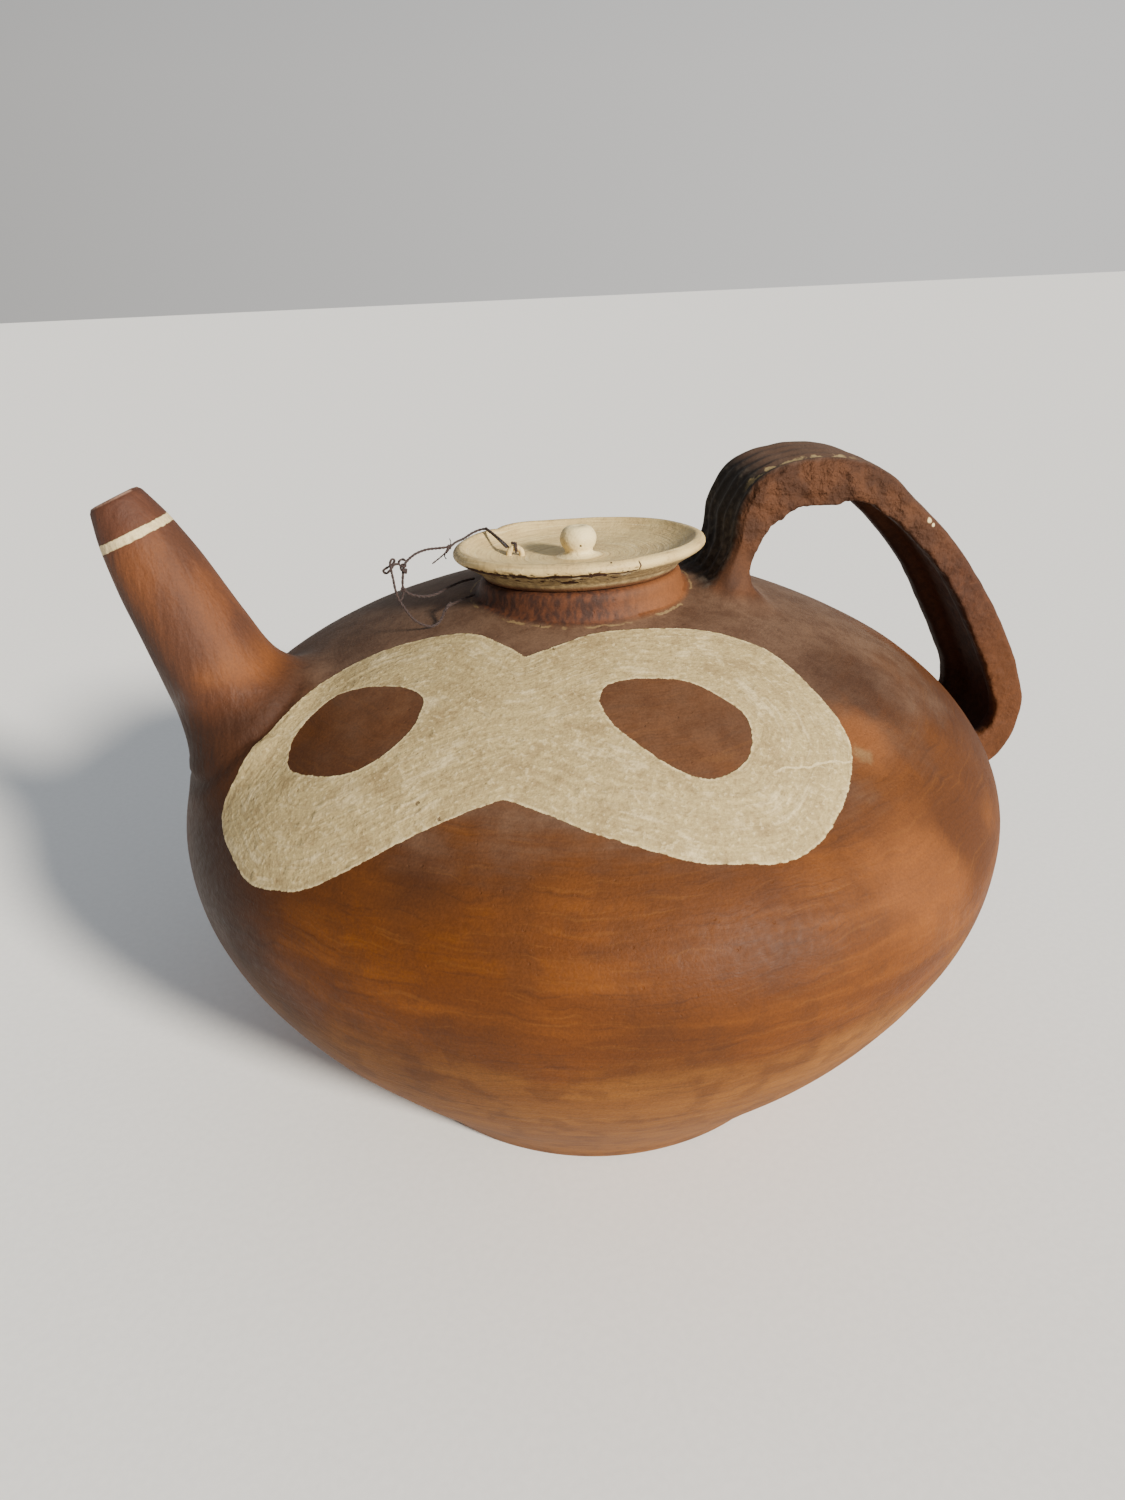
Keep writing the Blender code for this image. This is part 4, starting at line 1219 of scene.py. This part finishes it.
    edge = f.field("paint") + fine.swing(0.0014) + grain.swing(0.0006)
    stripe = STRIPE_HALF_WIDTH - abs(depth - STRIPE_DEPTH) + fine.swing(0.0012)
    painted_share = f.most(edge, stripe).ramp(0.0, 0.0004)
    brush = f.streaks(0.03, figure + cloud.swing(0.012), 0.0022, 4.0, seed=7.0)
    crack_gap = abs(right * -0.2 + f.place.axis("Y") + f.noise(0.01, 3.0, seed=14.0).swing(0.006) + 0.162)
    hairline = crack_gap.ramp(0.0007, 0.0003) * f.near((0.063, -0.149, 0.2415), 0.024, 0.3)
    pits = f.cells(0.021).ramp(0.06, 0.035) * grain.ramp(0.42, 0.52)
    cream = f.layers(
        brush.shades(0.34, 0.66, CREAM, CREAM_SHADED),
        (CREAM_PALE, (brush * 0.5 + blotch * 0.5).ramp(0.52, 0.64), 0.65),
        (CREAM_WORN, blotch.ramp(0.44, 0.32), 0.45),
        (CREAM_WORN, f.noise(0.0028, 3.0, seed=10.0).ramp(0.58, 0.7), 0.45),
        (CREAM_PALE, grit.ramp(0.55, 0.68), 0.5), (CREAM_WORN, grit.ramp(0.45, 0.33), 0.4),
        (CREAM_PALE, stripe.ramp(0.0, 0.0008), 0.6), (CREAM_PALE, hairline, 0.8),
        (CREAM_PALE, edge.ramp(0.0018, 0.0006), fine.ramp(0.4, 0.55), 0.6), (CREAM_PIT, pits, 0.8))

    inside = f.field("bare_inside")
    colour = f.layers(body_tone, (spout_tone, spout.ramp(0.15, 0.95)), (strap_tone, strap.ramp(0.25, 0.95)),
                      (collar_tone, collar), (CREAM_WORN, residue, 0.7), (cream, painted_share),
                      (cloud.shades(0.3, 0.7, INSIDE_BROWN, INSIDE_DEEP), inside))
    colour = f.mix(0.45, colour, grain.shades(0.3, 0.7, (0.62, 0.62, 0.62), (1.0, 1.0, 1.0)), "MULTIPLY")

    glossy = f.most(spout.ramp(0.2, 0.9) * depth.ramp(0.112, 0.08, 0.15, 1.0), collar)
    f.feed(f.shader.inputs["Specular IOR Level"], glossy.ramp(0.0, 1.0, 0.2, 0.42))
    shine = f.most(burnish * 0.38, glossy) - fine.swing(0.5)
    roughness = f.most(shine.ramp(0.0, 1.0, 0.7, 0.33), painted_share * 0.62, dust * 0.72, strap * 0.74,
                       inside * 0.85)

    pitted = f.cells(0.0042).ramp(0.22, 0.08) * fine.ramp(0.5, 0.62)
    crumbs = f.noise(0.0085, 7.0, seed=11.0)
    torn_relief = crumbs.swing(5.5) + crumbs.ramp(0.46, 0.56) * grit.swing(1.7)
    rubbed = f.noise(0.0036, 5.0, (1.0, 1.0, 0.34), 13.0)
    relief = (fine.swing(0.2) + grain.swing(0.11) + wiping.swing(0.28) + thin_wiping.swing(0.07)
              + painted_share * (brush.swing(0.45) + grit.swing(0.45) + 0.26)
              + painted_share * f.cells(0.011).ramp(0.3, 0.05) * 0.3 + strokes.swing(0.16)
              - pits * painted_share * 0.4 - pitted * 0.14 - fleck * 0.2
              + strap * front * run.ramp(0.26, 0.12, 0.4, 1.0) * run.ramp(0.03, 0.06) * torn_relief
              + collar * drag.swing(0.5) + spout * rubbed.swing(0.9))
    return f.finished(colour, roughness, relief)


def cream_slip():
    """Warm cream slip over brown clay, cracked and flaked below the lip, with painted shade under the lip and
    in the crack.
    """
    f = Finish("cream_slip", IOR=1.45, Specular_IOR_Level=0.4)
    local = f.field("lid_place", "Vector")
    x, y, z = (local.axis(name) for name in "XYZ")
    turn = f.math("ARCTAN2", y, x) * math.degrees(1.0)
    radius = f.math("SQRT", x * x + y * y)
    cloud = f.noise(0.02, 3.0, place=local)
    fine = f.noise(0.003, 3.0, seed=2.0, place=local)
    grain = f.noise(0.0009, 2.0, seed=3.0, place=local)
    brush = f.streaks(0.025, radius, 0.0011, place=local)

    underside = (z + 0.004 + (0.0613 - radius) * 0.45).ramp(0.0003, -0.0003)
    # painted shade: the lid's underside below the crack, turned from the light, drawn darker
    below = underside * (z + fine.swing(0.0016)).ramp(-0.0052, -0.006)
    crack_height = f.noise(0.01, 4.0, seed=6.0, place=local).swing(0.0022) - 0.0056
    span = underside * turn.ramp(-68.0, -63.0) * turn.ramp(24.0, 20.0)
    widening = f.noise(0.007, 2.0, seed=8.0, place=local).ramp(0.45, 0.7, 0.00034, 0.00094)
    # the crack is real; its near-black colour is painted shadow where the slip lifts
    crack = span * (abs(z - crack_height) - widening).ramp(0.0002, -0.0001)

    def patch(angle, half_width, height, half_height, ragged=0.9):
        wide = (turn - angle) / half_width
        tall = (z - height) / half_height
        gap = f.math("SQRT", wide * wide + tall * tall) + fine.swing(ragged)
        return gap.ramp(1.05, 0.9) * underside

    flakes = f.most(patch(-55.0, 9.0, -0.0052, 0.0012), patch(-29.0, 4.0, -0.0055, 0.0011),
                    patch(-9.0, 4.5, -0.01, 0.0009), patch(-40.0, 2.5, -0.0075, 0.0007),
                    patch(4.0, 2.0, -0.0048, 0.0006))
    up_crack = (abs(turn - fine.swing(2.0) - 22.5).ramp(0.35, 0.15) * z.ramp(-0.0058, -0.005)
                * z.ramp(-0.0008, -0.0014) * radius.ramp(0.06, 0.061))
    pale = f.most(patch(-5.0, 2.2, -0.007, 0.0006), patch(17.0, 2.6, -0.007, 0.0005, 0.3))
    pits = f.most(f.near((0.0093, 0.0005, -0.0025), 0.0009, place=local),
                  f.near((0.0091, -0.0022, -0.0035), 0.0009, place=local),
                  f.near((0.0615, 0.011, -0.0008), 0.0008, place=local))
    band = z.ramp(-0.003, -0.0048) * z.ramp(-0.0108, -0.0088) * span
    chips = band * f.noise(0.0036, 4.0, (1.0, 1.0, 1.6), 9.0, local).ramp(0.55, 0.59)
    dark = f.most(flakes, crack, up_crack, pits, chips)
    # dark fine vertical streaks, laid only on the lid's left end
    left_end_streaks = (turn.ramp(-50.0, -85.0) * radius.ramp(0.058, 0.062)
              * f.noise(0.0012, 2.0, (1.0, 1.0, 0.25), 5.0, local).ramp(0.42, 0.62))
    grime = f.noise(0.0016, 3.0, seed=10.0, place=local).ramp(0.54, 0.68) * cloud.ramp(0.4, 0.6)
    colour = f.layers(
        cloud.shades(0.3, 0.7, SLIP, SLIP_SHADED), (SLIP_WIPED, brush.ramp(0.5, 0.72), 0.45),
        (SLIP_PALE, brush.ramp(0.45, 0.3), 0.45), (SLIP_KNOB, radius.ramp(0.0125, 0.0105), 0.75),
        (SLIP_UNDERSIDE_SHADE, below, fine.ramp(0.3, 0.6, 0.45, 0.8)),
        (SLIP_LEFT_END_DARK, left_end_streaks, 0.6), (SLIP_GRIME, grime, 0.4),
        (fine.shades(0.3, 0.7, GAP_DARK, GAP_BROWN), dark), (SLIP_CHIP, pale),
        (cloud.shades(0.3, 0.7, SEAT_BROWN, SEAT_DEEP), z.ramp(-0.0125, -0.015)))
    colour = f.mix(0.25, colour, grain.shades(0.3, 0.7, (0.78, 0.78, 0.78), (1.0, 1.0, 1.0)), "MULTIPLY")
    relief = fine.swing(0.42) + grain.swing(0.15) + brush.swing(0.26) - dark * 0.75 + pale * 0.25
    return f.finished(colour, fine.ramp(0.2, 0.8, 0.5, 0.66), relief)


def twine_fibre():
    """Dark reddish-brown plant fibre, paler along the plies, with painted shade in the grooves between them.
    """
    f = Finish("twine_fibre", IOR=1.45, Sheen_Weight=0.15)
    ply = f.field("ply")
    hairs = f.noise(0.0004, 3.0, seed=1.0)
    patches = f.noise(0.006, 2.0, seed=2.0)
    # painted shade: darker in the grooves between the plies
    colour = f.layers(ply.shades(0.1, 0.9, TWINE_GROOVE_SHADE, TWINE_BROWN),
                      (TWINE_HAIR, hairs.ramp(0.55, 0.75), 0.3), (TWINE_PATCH, patches.ramp(0.55, 0.75), 0.3))
    return f.finished(colour, hairs.ramp(0.3, 0.7, 0.62, 0.82), hairs * 0.1 + ply * 0.1)


# Camera, floor and light

def camera():
    """The photograph's own view."""
    pitch, roll, yaw, turn = CAMERA_ANGLES
    forward = Vector((math.sin(yaw) * math.cos(pitch), math.cos(yaw) * math.cos(pitch), -math.sin(pitch)))
    level = Vector((math.cos(yaw), -math.sin(yaw), 0.0))
    upright = level.cross(forward)
    right = math.cos(roll) * level + math.sin(roll) * upright
    up = -math.sin(roll) * level + math.cos(roll) * upright
    facing = Matrix.Rotation(turn, 3, "Z") @ Matrix((right, up, -forward)).transposed()
    lens = bpy.data.cameras.new("camera")
    lens.lens = CAMERA_LENS
    lens.sensor_width = CAMERA_FILM
    item = placed("camera", lens)
    item.matrix_world = Matrix.Translation(CAMERA_PLACE) @ facing.to_4x4()
    bpy.context.scene.camera = item


def studio():
    """A plain pale floor under soft daylight from the right."""
    far = FLOOR_REACH
    mesh = bpy.data.meshes.new("floor")
    corners = [(-far, -far, 0.0), (far, -far, 0.0), (far, far, 0.0), (-far, far, 0.0)]
    mesh.from_pydata(corners, [], [(0, 1, 2, 3)])
    f = Finish("pale_floor")
    speckle = f.noise(0.004, 2.0)
    colour = speckle.shades(0.3, 0.7, FLOOR_PALE, FLOOR_PALER)
    mesh.materials.append(f.finished(colour, 0.85, speckle * 0.02))
    placed("floor", mesh)

    world = bpy.data.worlds.new("daylight")
    world.use_nodes = True
    bpy.context.scene.world = world
    sky = Nodes(world.node_tree)
    look = sky.node("ShaderNodeTexCoord", output="Generated")
    background = sky.tree.nodes["Background"].inputs
    sky.feed(background["Color"], sky.mix(look.axis("Z").ramp(0.1, 0.55, kind="LINEAR"), SKY_LOW, SKY_HIGH))
    sky.feed(background["Strength"], look.axis("X").ramp(-0.9, 0.5, 0.28, 0.8, "LINEAR"))

    lamp = bpy.data.lights.new("window", "SUN")
    lamp.energy = SUN_STRENGTH
    lamp.color = SUN_COLOUR
    lamp.angle = SUN_SOFTNESS
    towards = Vector((math.cos(SUN_SIDE) * math.cos(SUN_RISE), math.sin(SUN_SIDE) * math.cos(SUN_RISE),
                      math.sin(SUN_RISE)))
    item = placed("window", lamp)
    facing = towards.to_track_quat("Z", "Y").to_matrix().to_4x4()
    item.matrix_world = Matrix.Translation(towards * 3.0) @ facing


def build():
    camera()
    fibre = twine_fibre()
    strands = twine(twine_tree(), fibre)
    clay, slip = burnished_clay(), cream_slip()
    turning = turning_tree()
    vessel = pot(turning, clay)
    cover = lid(turning, slip)
    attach(vessel, "root")
    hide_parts("pot_body")
    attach(cover, "root")
    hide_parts("lid")
    studio()
    for piece in [vessel, cover] + strands:
        print("triangles", piece.name, sum(len(p.vertices) - 2 for p in piece.data.polygons))


build()
